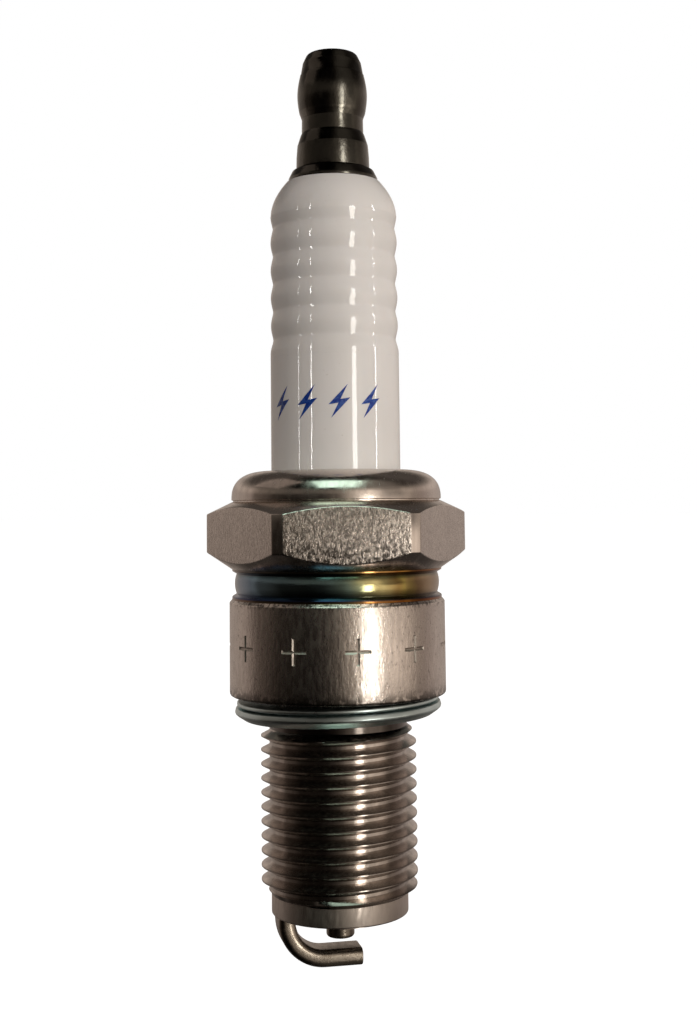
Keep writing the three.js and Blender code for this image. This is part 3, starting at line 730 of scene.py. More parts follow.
glazed_alumina, tree, shader = finish("glazed_alumina", 0.0, 0.1)
cloud = use(tree, grain, Size=6.0, Along=0.8, Detail=3.0, Seed=1.0)
freckle = use(tree, grain, Size=0.25, Along=1.0, Detail=2.0, Low=0.70, High=0.76, Seed=8.0)
body_colour = blended(tree, "MIX", cloud["Mask"], CERAMIC_PALE, CERAMIC_SHADE)
freckle_share = sums(tree, "MULTIPLY", freckle["Mask"], 0.35)
freckled = blended(tree, "MIX", freckle_share, body_colour, FRECKLE)
wire(tree, freckled, shader.inputs["Base Color"])
spot = use(tree, place_on_plug)
glazed = sums(tree, "GREATER_THAN", spot["Height"], GLAZE_FROM)
wire(tree, between(tree, glazed, BARE_ROUGH, GLAZE_ROUGH), shader.inputs["Roughness"])
shader.inputs["IOR"].default_value = 1.55
shader.inputs["Subsurface Weight"].default_value = 0.12
shader.inputs["Subsurface Radius"].default_value = (0.9, 0.75, 0.6)
shader.inputs["Subsurface Scale"].default_value = 0.0012
ripple = use(tree, grain, Size=1.1, Along=0.8, Detail=1.0, Low=0.2, High=0.8, Seed=5.0)
on_ribs = sums(tree, "GREATER_THAN", spot["Height"], RIPPLE_FROM)
waves = sums(tree, "MULTIPLY", ripple["Mask"], between(tree, on_ribs, 0.35, 1.0))
bump(tree, shader, waves, RIPPLE_DEPTH)
print("glazed alumina made")

# %% [markdown]
# The print on the glaze is a royal blue ink. It went on through a screen, so it lies
# thick in some places and thin in others, where it looks paler.

# %% Printed ink
INK_DEEP = (0.012, 0.035, 0.30, 1.0)
INK_THIN = (0.03, 0.13, 0.50, 1.0)

blue_ink, tree, shader = finish("blue_ink", 0.0, 0.28)
patches = use(tree, grain, Size=0.35, Along=1.0, Detail=4.0, Low=0.3, High=0.75, Seed=12.0)
ink = blended(tree, "MIX", patches["Mask"], INK_DEEP, INK_THIN)
wire(tree, ink, shader.inputs["Base Color"])
wire(tree, between(tree, patches["Mask"], 0.2, 0.36), shader.inputs["Roughness"])
bump(tree, shader, patches["Mask"], 0.003)
print("blue ink made")


# %% [markdown]
# The terminal's pieces and the electrodes are turned or drawn bars. They share one
# recipe: rings from the lathe, or streaks from the die, over a base colour, with dirt in
# the hollows and rubbed edges.


# %% Bar metals
SOOT = (0.02, 0.017, 0.015, 1.0)


def bar_metal(name, colour, roughness, along, size, depth, dirt=0.6, edge=0.5):
    """Turned or drawn metal. Along over 1 gives turning rings, and under 1 streaks."""
    made, tree, principled = finish(name, 1.0, roughness)
    lines = use(tree, grain, Size=size, Along=along, Detail=4.0, Low=0.3, High=0.7, Seed=3.0)
    cloud = use(tree, grain, Size=size * 6, Along=1.0, Detail=3.0, Seed=7.0)
    worn = use(tree, wear, Breakup=0.4, Size=0.3)
    dark = tuple(c * 0.6 for c in colour)
    bright = tuple(min(1.0, c * 1.6) for c in colour)
    cloud_share = between(tree, cloud["Mask"], 0.0, 0.7)
    base = blended(tree, "MIX", cloud_share, (*colour, 1.0), (*dark, 1.0))
    soot_share = sums(tree, "MULTIPLY", worn["Hollows"], dirt)
    sooty = blended(tree, "MIX", soot_share, base, SOOT)
    rubbed_share = sums(tree, "MULTIPLY", worn["Edges"], edge)
    rubbed = blended(tree, "MIX", rubbed_share, sooty, (*bright, 1.0))
    wire(tree, rubbed, principled.inputs["Base Color"])
    rough = between(tree, lines["Mask"], roughness - 0.06, roughness + 0.1)
    wire(tree, rough, principled.inputs["Roughness"])
    bump(tree, principled, lines["Mask"], depth)
    return made


gunmetal = bar_metal("gunmetal_plate", (0.11, 0.104, 0.09), 0.17, 0.6, 0.55, 0.011, edge=0.8)
zinc_plate = bar_metal("zinc_plate", (0.78, 0.92, 0.93), 0.33, 2.0, 0.5, 0.003)
nickel_alloy = bar_metal("nickel_alloy", (0.36, 0.315, 0.265), 0.27, 1.0, 0.35, 0.004)
drawn_steel = bar_metal("drawn_steel", (0.50, 0.49, 0.47), 0.35, 1.0, 0.3, 0.004)
copper = bar_metal("copper", (0.80, 0.42, 0.26), 0.3, 0.5, 0.3, 0.003)
print("bar metals made")


# %% [markdown]
# Two powders fill the inside: pressed talc, and glass frit with metal in it that has
# been melted round the stud. Both are dull and grainy.


# %% Powders
def powder(name, light, dark, roughness, size, depth):
    """A pressed or fused powder with two colours of grain."""
    made, tree, principled = finish(name, 0.0, roughness)
    grains = use(tree, grain, Size=size, Along=1.0, Detail=5.0, Low=0.35, High=0.65, Seed=2.0)
    colour = blended(tree, "MIX", grains["Mask"], (*light, 1.0), (*dark, 1.0))
    wire(tree, colour, principled.inputs["Base Color"])
    rough = between(tree, grains["Mask"], roughness - 0.1, roughness)
    wire(tree, rough, principled.inputs["Roughness"])
    bump(tree, principled, grains["Mask"], depth)
    return made


pressed_talc = powder("pressed_talc", (0.78, 0.76, 0.70), (0.62, 0.60, 0.54), 0.95, 0.12, 0.02)
fused_glass = powder("fused_glass", (0.10, 0.08, 0.075), (0.32, 0.20, 0.13), 0.6, 0.2, 0.01)
print("powders made")

# %% [markdown]
# ## Turning
#
# Almost every piece of a spark plug comes off a lathe, so one function makes them all.
# It takes the outline as corners, each with a radius, a height and how much the corner
# is rounded. Rounding the outline before turning it gives clean, even edges that catch
# the light, and needs no bevel afterwards.


# %% Round the corners of an outline
def rounded(outline, steps=4, closed=True):
    """Points along an outline whose corners (r, z, rounding) are replaced by arcs."""
    points = []
    count = len(outline)
    for index, (r, z, rounding) in enumerate(outline):
        at_end = not closed and index in (0, count - 1)
        if rounding == 0 or at_end:
            points.append((r, z))
            continue
        here = Vector((r, z))
        back = Vector(outline[index - 1][:2]) - here
        ahead = Vector(outline[(index + 1) % count][:2]) - here
        half = back.angle(ahead) / 2
        cut = min(rounding / math.tan(half), 0.48 * back.length, 0.48 * ahead.length)
        radius = cut * math.tan(half)
        bisector = (back.normalized() + ahead.normalized()).normalized()
        centre = here + bisector * (radius / math.sin(half))
        start = here + back.normalized() * cut - centre
        sweep = start.angle_signed(here + ahead.normalized() * cut - centre)
        for step in range(steps + 1):
            bend = -sweep * step / steps
            turned_arm = Matrix.Rotation(bend, 2) @ start
            points.append(tuple(centre + turned_arm))
    return points


def plain(points):
    """Corners that stay as they are."""
    return [(r, z, 0) for r, z in points]


print("outline helpers ready")

# %% [markdown]
# Blender's Screw modifier could spin the outline, but its seam and its poles need
# cleaning up. Here the rings of points are laid out and joined directly, and an outline
# that touches the axis ends in one shared point. Shading is smooth, except at edges
# where the faces meet at more than a set angle.

# %% Turn an outline about the axis
SIDES = 192


def solid_of_revolution(points, sides=SIDES):
    """Vertices and faces of an outline in millimetres turned about Z. It closes on itself."""
    angles = np.arange(sides) * 2 * math.pi / sides
    vertices = []
    rings = []
    for r, z in points:
        if abs(r) < 1e-6:
            rings.append([len(vertices)] * sides)
            vertices.append((0.0, 0.0, z * MM))
            continue
        rings.append(list(range(len(vertices), len(vertices) + sides)))
        vertices.extend((r * MM * math.sin(a), -r * MM * math.cos(a), z * MM) for a in angles)
    faces = []
    for low, high in zip(rings, rings[1:] + rings[:1]):
        if low[0] == low[1] and high[0] == high[1]:
            continue
        for i in range(sides):
            j = (i + 1) % sides
            corners = [low[i], low[j], high[j], high[i]]
            faces.append(list(dict.fromkeys(corners)))
    return vertices, faces


def mesh_object(name, vertices, faces, materials, smooth_angle=32):
    """A mesh object with smooth shading, and sharp edges where faces meet at an angle."""
    mesh = bpy.data.meshes.new(name)
    mesh.from_pydata(vertices, [], faces)
    for material in materials:
        mesh.materials.append(material)
    made = bpy.data.objects.new(name, mesh)
    bpy.context.scene.collection.objects.link(made)
    shade(mesh, smooth_angle)
    return made


def shade(mesh, smooth_angle):
    """Shades a mesh smooth, with every sharper edge marked sharp."""
    work = bmesh.new()
    work.from_mesh(mesh)
    bmesh.ops.recalc_face_normals(work, faces=work.faces)
    limit = math.radians(smooth_angle)
    for face in work.faces:
        face.smooth = True
    for edge in work.edges:
        edge.smooth = len(edge.link_faces) == 2 and edge.calc_face_angle(0) < limit
    work.to_mesh(mesh)
    work.free()


def turned(name, outline, material, sides=SIDES, steps=4):
    """A turned piece from corners (radius, height, rounding)."""
    vertices, faces = solid_of_revolution(rounded(outline, steps), sides)
    return mesh_object(name, vertices, faces, [material])


print("turned pieces have", SIDES, "sides unless they say otherwise")

# %% [markdown]
# ## Insulator
#
# The ceramic is ground and glazed, and its five ribs lengthen the path that a stray
# spark would have to creep. Each rib swells quickly out of a narrow groove and is nearly
# flat on top, which a sine raised to a small power gives. The hidden part is here too:
# the boss that the shell is crimped over, the sealing cone and the tapered nose.

# %% Insulator ribs and shoulder
INSULATOR_R = 5.87
RIB_COUNT = 5
RIB_PITCH = 2.57
RIB_R = 5.82
RIB_DEPTH = 0.21
LOWEST_GROOVE = SHELL_TOP + 11.95
RIB_STEPS = 20
SHOULDER_START = LOWEST_GROOVE + (RIB_COUNT - 0.55) * RIB_PITCH
SHOULDER_R = 5.79
MOUTH_R = 4.32
SHOULDER_STEPS = 14
BORE_R = 2.3  # round the stud
TIP_BORE_R = 1.28  # round the centre electrode
BORE_STEP = -3.03  # the height where one becomes the other
NOSE_TIP_R = 2.35
NOSE_R = 3.12
WAIST_R = 5.3


def rib_radius(height):
    """Radius of the ribbed stretch at a height: broad crests and narrower grooves."""
    along = (height - LOWEST_GROOVE) / RIB_PITCH
    swell = abs(math.sin(math.pi * along)) ** 1.3
    return RIB_R - RIB_DEPTH * (1 - swell)


ribs = [  # the plain barrel eases in to the lowest groove
    (INSULATOR_R, LOWEST_GROOVE - 1.25),
    (INSULATOR_R - 0.03, LOWEST_GROOVE - 0.95),
    (INSULATOR_R - 0.10, LOWEST_GROOVE - 0.65),
]
height = LOWEST_GROOVE - 0.35
while height < SHOULDER_START:
    ribs.append((rib_radius(height), height))
    height += RIB_PITCH / RIB_STEPS
shoulder = []
for step in range(1, SHOULDER_STEPS + 1):
    rise = step / SHOULDER_STEPS
    r = MOUTH_R + (SHOULDER_R - MOUTH_R) * (1 - rise**1.9)
    shoulder.append((r, SHOULDER_START + (INSULATOR_TOP - SHOULDER_START) * rise))
print(f"{RIB_COUNT} ribs and a shoulder, from {ribs[0][1]:.2f} to {INSULATOR_TOP:.2f} mm")

# %% Turn the insulator
hidden = [
    (TIP_BORE_R, NOSE_END, 0.1),
    (NOSE_TIP_R, NOSE_END, 0.4),
    (NOSE_R, -9.4, 0.2),
    (NOSE_R, -6.9, 0.2),
    (WAIST_R, -5.5, 0.2),
    (WAIST_R, 1.3, 0.2),
    (BOSS_R, 3.62, 0.3),
    (BOSS_R, 12.5, 0.3),
    (INSULATOR_R, 12.8, 0.1),
]
mouth = [(BORE_R, INSULATOR_TOP, 0.2), (BORE_R, BORE_STEP, 0.1), (TIP_BORE_R, BORE_STEP, 0.1)]
outline = hidden + plain(ribs + shoulder) + mouth
insulator = turned("insulator_glazed", outline, glazed_alumina, sides=256)
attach(insulator, "plug_body")
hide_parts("insulator")
glazed_only.objects.link(insulator)
print(f"insulator has {len(insulator.data.vertices)} vertices")

# %% [markdown]
# The print is generic: four small lightning bolts, wrapped onto the ceramic. Each is a
# flat outline, cut into triangles small enough to follow the curve, and raised by the
# thickness of the ink. Real ink stands proud, so it catches the light at its edges.

# %% Printed marks
MARK_COUNT = 4
MARK_FIRST = -53  # degrees round from the front
MARK_STEP = 28.6
MARK_MIDDLE = SHELL_TOP + 5.95
MARK_HIGH = 3.0
INK_THICK = 0.018
GLAZE_THICK = 0.002
BOLT_STEPS = 5  # parts that each side of a triangle is cut into
BOLT = [(0.25, 0.5), (-0.32, -0.1), (-0.03, -0.055), (-0.25, -0.5), (0.32, 0.1), (0.03, 0.055)]
BOLT_FACES = [(0, 1, 5), (1, 2, 5), (2, 3, 4), (2, 4, 5)]  # keep the notches open


def bolt_grid():
    """The bolt cut evenly into small triangles: its flat points, and the triangles."""
    numbers = {}
    triangles = []
    for face in BOLT_FACES:
        (x0, z0), (x1, z1), (x2, z2) = (BOLT[i] for i in face)
        at = {}
        for i in range(BOLT_STEPS + 1):
            for j in range(BOLT_STEPS + 1 - i):
                x = x0 + ((x1 - x0) * i + (x2 - x0) * j) / BOLT_STEPS
                z = z0 + ((z1 - z0) * i + (z2 - z0) * j) / BOLT_STEPS
                at[i, j] = numbers.setdefault((round(x, 9), round(z, 9)), len(numbers))
        for i, j in at:
            if i + j < BOLT_STEPS:
                triangles.append([at[i, j], at[i + 1, j], at[i, j + 1]])
            if i + j < BOLT_STEPS - 1:
                triangles.append([at[i + 1, j], at[i + 1, j + 1], at[i, j + 1]])
    return list(numbers), triangles


def printed_mark(name, degrees):
    """A lightning bolt of ink, wrapped round the insulator."""
    flat, triangles = bolt_grid()
    vertices = []
    for lift in (INK_THICK, -INK_THICK):
        r = INSULATOR_R + GLAZE_THICK + lift
        for x, z in flat:
            angle = math.radians(degrees) + x * MARK_HIGH / INSULATOR_R
            height = MARK_MIDDLE + z * MARK_HIGH
            vertices.append((r * MM * math.sin(angle), -r * MM * math.cos(angle), height * MM))
    count = len(flat)
    edges = [(t[i], t[(i + 1) % 3]) for t in triangles for i in range(3)]
    rim = [(start, end) for start, end in edges if (end, start) not in edges]
    faces = triangles + [[i + count for i in reversed(t)] for t in triangles]
    faces += [[end, start, start + count, end + count] for start, end in rim]
    made = mesh_object(name, vertices, faces, [blue_ink], smooth_angle=40)
    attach(made, "plug_body")
    return made


for number in range(MARK_COUNT):
    printed_mark(f"printed_bolt_{number + 1}", MARK_FIRST + number * MARK_STEP)
print(f"{MARK_COUNT} printed marks")

# %% [markdown]
# ## Threads
#
# A screw thread is a profile that climbs one pitch in a turn. The mesh is a grid whose
# columns each stand a little higher than the last, so after a full turn the profile
# meets itself one pitch up, and the rows follow the crests exactly. At the ends a cone
# cuts the crests down until the thread sinks into the core.


# %% Helical thread
def helical_thread(crest, pitch, depth, low, high, lead_in, sides, core):
    """Vertices and faces of a right-hand thread, in millimetres, closed at both ends."""
    flat = pitch / 12
    root_flat = pitch / 2.9
    flank = (pitch - flat - root_flat) / 2
    root = crest - depth
    profile = [
        (root, 0.2 * root_flat),
        (root, 0.8 * root_flat),
        (root + 0.16 * depth, root_flat + 0.1 * flank),
        (crest - 0.1 * depth, root_flat + 0.92 * flank),
        (crest, root_flat + flank + 0.1 * flat),
        (crest, root_flat + flank + 0.9 * flat),
        (crest - 0.1 * depth, root_flat + 1.08 * flank + flat),
        (root + 0.16 * depth, root_flat + 1.9 * flank + flat),
    ]
    per_turn = len(profile)
    turns = math.ceil((high - low) / pitch) + 2
    start = low - 1.5 * pitch
    rows = per_turn * turns + 1
    stride = rows + per_turn
    sunk = core - 0.12

    def cut_down(z):
        from_end = min(z - low, high - z)
        return sunk + (crest - sunk) * max(0.0, from_end / lead_in)

    vertices = []
    for column in range(sides):
        angle = column / sides * 2 * math.pi
        for row in range(stride):
            radius, rise = profile[row % per_turn]
            z = start + (row // per_turn + column / sides) * pitch + rise
            r = max(sunk, min(radius, cut_down(z)))
            vertices.append((r * MM * math.sin(angle), -r * MM * math.cos(angle), z * MM))
    bottom = len(vertices)
    vertices.append((0, 0, start * MM))
    vertices.append((0, 0, (start + (turns + 1) * pitch) * MM))

    def at(row, column):
        return column * stride + row if column < sides else row + per_turn

    faces = []
    for column in range(sides):
        for row in range(rows - 1):
            near = [at(row, column), at(row, column + 1)]
            faces.append(near + [at(row + 1, column + 1), at(row + 1, column)])
        faces.append([bottom, at(0, column + 1), at(0, column)])
        faces.append([bottom + 1, at(rows - 1, column), at(rows - 1, column + 1)])
    for row in range(per_turn):
        faces.append([bottom, at(row, 0), at(row + 1, 0)])
        faces.append([bottom + 1, at(rows + row, 0), at(rows - 1 + row, 0)])
    used = sorted({v for face in faces for v in face})
    renumbered = {old: new for new, old in enumerate(used)}
    return [vertices[v] for v in used], [[renumbered[v] for v in face] for face in faces]


print("thread helper ready")

# %% [markdown]
# Pieces that are one solid on the real plug are joined by a Boolean, so that they read
# as one skin. The helper applies the modifier and discards the tool. A second helper
# bevels the edges that no outline can round.


# %% Helpers to join, cut and bevel
def with_modifiers(made):
    """Makes an object's modifiers part of its mesh."""
    evaluated = made.evaluated_get(bpy.context.evaluated_depsgraph_get())
    made.data = bpy.data.meshes.new_from_object(evaluated)
    made.modifiers.clear()


def combined(base, tool, operation):
    """Joins or cuts one object with another, and removes the tool."""
    modifier = base.modifiers.new("combine", "BOOLEAN")
    modifier.operation = operation
    modifier.object = tool
    modifier.solver = "EXACT"
    modifier.material_mode = "TRANSFER"
    with_modifiers(base)
    bpy.data.objects.remove(tool)


def bevelled(made, name, width, angle):
    """Bevels every edge sharper than an angle, by a width in millimetres."""
    bevel = made.modifiers.new(name, "BEVEL")
    bevel.width = width * MM
    bevel.segments = 3
    bevel.limit_method = "ANGLE"
    bevel.angle_limit = math.radians(angle)
    with_modifiers(made)


print("joining and bevelling helpers ready")

# %% [markdown]
# ## Shell
#
# The shell is extruded and turned steel. Its body is one turned outline, from the pilot
# ring up the outside to the crimp and back down the bore. The hexagon is a prism cut by
# a turned blank, which leaves the curved chamfers on every flat. The thread and the
# stamped crosses finish it. First come the sizes, and two curves that corners can't give.

# %% Shell sizes, the crimp's curl and the groove's crown
ROOT_R = 6.183
CREST_R = 6.95
PILOT_R = ROOT_R - 0.12
PILOT_TOP = SHELL_END + 1.75
CORE_R = ROOT_R - 0.05
BARREL_R = 9.7
BARREL_TOP = 8.5
GROOVE_R = 9.22
GROOVE_CROWN = 0.17
LIP_R = 9.45
HEX_BOTTOM = 11.1
HEX_TOP = SHELL_TOP - 2.75
CRIMP_R = 9.5
CRIMP_BORE = INSULATOR_R + 0.08
CRIMP_FULLNESS = 0.78  # 1 is an ellipse, and less is squarer
TOP_BORE_R = BOSS_R + 0.03
MID_BORE_R = 5.333
LEDGE_R = MID_BORE_R - 1.1
LEDGE_TOP = -7.2
RIM_BORE_R = PILOT_R - 1.7


def crimp_curve(width, height, bottom, steps):
    """The curl of the crimp: a quarter of an ellipse from its side to its lip."""
    curve = []
    for step in range(steps + 1):
        lift = step / steps * math.pi / 2
        r = CRIMP_BORE + width * math.cos(lift) ** CRIMP_FULLNESS
        curve.append((r, bottom + height * math.sin(lift) ** CRIMP_FULLNESS))
    return curve


def groove_crown(low, high, steps):
    """The groove's wall, which swells a little between its ends where it was upset."""
    crown = []
    for step in range(steps + 1):
        along = 2 * step / steps - 1
        r = GROOVE_R - GROOVE_CROWN * along * along
        crown.append((r, low + (high - low) * step / steps, 0))
    return crown


print(f"barrel {BARREL_R * 2:.1f} mm across, hexagon from {HEX_BOTTOM} to {HEX_TOP:.2f} mm")

# %% Turn the shell's body
outside = [
    (RIM_BORE_R, SHELL_END, 0.12),
    (PILOT_R, SHELL_END, 0.16),
    (PILOT_R, PILOT_TOP, 0.06),
    (CORE_R, PILOT_TOP + 0.1, 0.03),
    (CORE_R, 0, 0.3),
    (BARREL_R, 0, 0.28),
    (BARREL_R, BARREL_TOP - 0.28, 0.18),
    (LIP_R, BARREL_TOP, 0.08),
    (LIP_R, BARREL_TOP + 0.27, 0.12),
    *groove_crown(BARREL_TOP + 0.5, HEX_BOTTOM - 0.32, 10),
    (LIP_R, HEX_BOTTOM - 0.08, 0.1),
    (LIP_R, HEX_BOTTOM + 0.25, 0.05),
    (CRIMP_R, HEX_BOTTOM + 0.4, 0.05),
    (CRIMP_R, HEX_TOP - 0.3, 0),
    (CRIMP_R - 0.15, HEX_TOP - 0.02, 0.03),
    (CRIMP_R - 0.15, HEX_TOP + 0.09, 0.03),
]
crimp_outside = crimp_curve(CRIMP_R - CRIMP_BORE, 2.6, HEX_TOP + 0.15, 20)[:-1]
crimp_lip = [(CRIMP_BORE + 0.25, SHELL_TOP, 0.2), (CRIMP_BORE, SHELL_TOP - 0.22, 0.2)]
crimp_inside = list(reversed(crimp_curve(TOP_BORE_R - CRIMP_BORE, 1.2, HEX_TOP, 6)))
inside = [
    (TOP_BORE_R, 3.32, 0.3),
    (MID_BORE_R, 1.0, 0.3),
    (MID_BORE_R, LEDGE_TOP + 0.63, 0.05),
    (LEDGE_R, LEDGE_TOP, 0.15),
    (LEDGE_R, LEDGE_TOP - 2.2, 0.15),
    (RIM_BORE_R, LEDGE_TOP - 2.75, 0.2),
]
outline = outside + plain(crimp_outside) + crimp_lip + plain(crimp_inside) + inside
shell = turned("shell_plated", outline, barrel_plate, sides=SIDES)
print(f"shell body has {len(shell.data.polygons)} faces")

# %% [markdown]
# The hexagon's edges get a narrow bevel, because a bar that was forged and tumbled has
# no razor edges, and a bevel is what catches the window's light on the corner.

# %% Hexagon
HEX_FLAT = 10.4  # from the axis to each flat
HEX_CORNER_R = 11.72
HEX_TURN = math.radians(5.4)
HEX_BEVEL = 0.24

corner_r = HEX_FLAT / math.cos(math.pi / 6)
ring = []
for corner in range(6):
    angle = HEX_TURN + corner * math.pi / 3
    ring.append((corner_r * MM * math.cos(angle), corner_r * MM * math.sin(angle)))
prism_vertices = [(x, y, z * MM) for z in (HEX_BOTTOM, HEX_TOP) for x, y in ring]
prism_faces = [list(range(5, -1, -1)), list(range(6, 12))]
prism_faces += [[i, (i + 1) % 6, (i + 1) % 6 + 6, i + 6] for i in range(6)]
hexagon = mesh_object("hexagon", prism_vertices, prism_faces, [hexagon_plate])
blank_outline = [
    (0, HEX_BOTTOM, 0),
    (LIP_R - 0.1, HEX_BOTTOM, 0),
    (HEX_CORNER_R, HEX_BOTTOM + 1.6, 0),
    (HEX_CORNER_R, HEX_TOP - 1.1, 0),
    (CRIMP_R - 0.1, HEX_TOP, 0),
    (0, HEX_TOP, 0),
]
blank = turned("blank", blank_outline, crimp_plate, sides=SIDES)
combined(hexagon, blank, "INTERSECT")
bevelled(hexagon, "tumbled edges", HEX_BEVEL, 20)
print(f"hexagon has {len(hexagon.data.polygons)} faces")

# %% [markdown]
# The thread starts above the pilot ring and runs out just under the seat. The helix is a
# solid rod, as the hexagon's prism is solid, and each overlaps the body so that they join.
# This has a known weak point. The joined mesh keeps some of the body's core inside the
# thread, and its bore is closed at the thread and in the hexagon, which shows only from
# below. Hollow tools, or cutting the bore again after joining, would cure it.

# %% Shell thread
PITCH = 1.25
THREAD_LOW = PILOT_TOP
THREAD_HIGH = -2.7
LEAD_IN = 0.6
THREAD_SIDES = 144

vertices, faces = helical_thread(
    CREST_R, PITCH, CREST_R - ROOT_R, THREAD_LOW, THREAD_HIGH, LEAD_IN, THREAD_SIDES, CORE_R
)
thread = mesh_object("thread", vertices, faces, [thread_plate])
print(f"thread of {PITCH} mm pitch has {len(faces)} faces")

# %% [markdown]
# Small crosses are stamped round the barrel. A punch with sloping sides, cut out of the
# wall, leaves V-shaped grooves whose two flanks catch the light differently, as a real
# stamp does. A bump map would lie flat at the edge of the barrel.

# %% Stamped crosses
CROSS_COUNT = 11
CROSS_FIRST = -22.0  # degrees round from the front
CROSS_HEIGHT = 4.5
CROSS_SPAN = 2.3
CROSS_STROKE = 0.05  # at the bottom of the groove
CROSS_DEPTH = 0.1
CROSS_REACH = 0.25  # how far the punch stands proud of the barrel
CROSS_SLOPE = 1.25  # how far the sides lean out per depth


def cross_plan(half, arm):
    """The twelve corners of a cross, from half its span and half its stroke."""
    plan = [(arm, arm), (half, arm), (half, -arm), (arm, -arm), (arm, -half), (-arm, -half)]
    return plan + [(-x, -z) for x, z in plan]


def cross_cutter(name, degrees):
    """A cross-shaped punch with sloping sides, which leaves V-shaped grooves."""
    spread_out = (CROSS_DEPTH + CROSS_REACH) * CROSS_SLOPE
    half = CROSS_SPAN / 2 - CROSS_DEPTH * CROSS_SLOPE
    arm = CROSS_STROKE / 2
    tip = [(BARREL_R - CROSS_DEPTH, x, z) for x, z in cross_plan(half, arm)]
    wide = cross_plan(half + spread_out, arm + spread_out)
    back = [(BARREL_R + CROSS_REACH, x, z) for x, z in wide]
    vertices = []
    for r, x, z in tip + back:
        a = math.radians(degrees) + x / BARREL_R
        vertices.append((r * MM * math.sin(a), -r * MM * math.cos(a), (CROSS_HEIGHT + z) * MM))
    count = len(tip)
    ends = [[0, 3, 6, 9], [0, 1, 2, 3], [3, 4, 5, 6], [6, 7, 8, 9], [9, 10, 11, 0]]
    faces = [[i, (i + 1) % count, (i + 1) % count + count, i + count] for i in range(count)]
    faces += ends
    faces += [[f + count for f in reversed(face)] for face in ends]
    return mesh_object(name, vertices, faces, [stamped_plate])


combined(shell, hexagon, "UNION")
combined(shell, thread, "UNION")
for number in range(CROSS_COUNT):
    cross = cross_cutter("cross", CROSS_FIRST + number * 360 / CROSS_COUNT)
    combined(shell, cross, "DIFFERENCE")
print(f"shell has {len(shell.data.polygons)} faces in {[m.name for m in shell.data.materials]}")

# %% [markdown]
# The turned body came in with one finish, so its faces are now sorted by height: the
# crimp takes the smoother plate, the groove the heat tint, the pilot ring its own plate
# and the thread's core the thread's. Each shows a sharp line on the real shell too.

# %% Sort the shell's faces by finish
shell.data.materials.append(heat_tint)
slots = {material.name: index for index, material in enumerate(shell.data.materials)}
for plate in (crimp_plate, pilot_plate):
    if plate.name not in slots:
        shell.data.materials.append(plate)
        slots[plate.name] = len(shell.data.materials) - 1
for face in shell.data.polygons:
    z = face.center.z / MM
    r = math.hypot(face.center.x, face.center.y) / MM
    if face.material_index != slots["barrel_plate"]:
        continue
    if BARREL_TOP - 0.05 < z < HEX_BOTTOM + 0.2 and r > TOP_BORE_R + 0.3:
        face.material_index = slots["heat_tint"]
    elif z > HEX_BOTTOM:
        face.material_index = slots["crimp_plate"]
    elif z < PILOT_TOP + 0.02:
        face.material_index = slots["pilot_plate"]
    elif z < -0.4:
        face.material_index = slots["thread_plate"]
shade(shell.data, 28)
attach(shell, "plug_body")
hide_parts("shell")
shell_only.objects.link(shell)
print({name: sum(f.material_index == i for f in shell.data.polygons) for name, i in slots.items()})

# %% [markdown]
# ## Terminal
#
# The stud stands in the insulator's bore, fused into glass at its foot, and its flange
# closes the bore. The nut screws onto its M4 thread. The flange flares down to the
# ceramic, and a fine gap shows between the nut and the flange.

# %% Terminal stud
FLANGE_TOP = INSULATOR_TOP + 1.08
STUD_THREAD_R = 1.95
STUD_PITCH = 0.7
STUD_DEPTH = 0.43
STUD_ROOT_R = STUD_THREAD_R - STUD_DEPTH
STUD_SIDES = 64
TAIL_R = 1.5  # the end held in the glass
TAIL_TOP = 4.56
SHANK_R = 2.05
SEAT_GAP = 0.03  # between the flange and the ceramic

stud_outline = [
    (0, STUD_END, 0),
    (TAIL_R, STUD_END, 0.2),
    (TAIL_R, TAIL_TOP, 0.1),
    (SHANK_R, TAIL_TOP, 0.2),
    (SHANK_R, INSULATOR_TOP + SEAT_GAP, 0),
    (FLANGE_R, INSULATOR_TOP + SEAT_GAP, 0.1),
    (FLANGE_R - 0.05, INSULATOR_TOP + 0.38, 0.12),
    (FLANGE_R - 0.4, FLANGE_TOP, 0.1),
    (STUD_ROOT_R - 0.03, FLANGE_TOP, 0.1),
    (STUD_ROOT_R - 0.03, STUD_TOP, 0.2),
    (0, STUD_TOP, 0),
]
stud = turned("terminal_stud_turned", stud_outline, gunmetal, sides=128)
vertices, faces = helical_thread(
    STUD_THREAD_R, STUD_PITCH, STUD_DEPTH, FLANGE_TOP + 0.5, STUD_TOP, 0.5, STUD_SIDES, STUD_ROOT_R
)
combined(stud, mesh_object("stud_thread", vertices, faces, [gunmetal]), "UNION")
shade(stud.data, 30)
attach(stud, "plug_body")
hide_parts("terminal_stud")
print(f"stud has {len(stud.data.polygons)} faces")

# %% [markdown]
# The nut is the snap-on shape that a lead's cap grips: a skirt, a narrow waist and a
# barrel-shaped head. The head's swell is a sine between its two end radii, and a fine
# step above it marks where the rounded top was turned from the other side.

# %% Terminal nut
NUT_BORE_R = 2.0


def bulge(low, high, start_r, widest_r, end_r, steps):
    """The nut's barrel-shaped grip: a sine swell between its two end radii."""
    swell = []
    for step in range(steps + 1):
        along = step / steps
        straight = start_r + (end_r - start_r) * along
        out = (widest_r - (start_r + end_r) / 2) * math.sin(math.pi * along)
        swell.append((straight + out, low + (high - low) * along))
    return swell


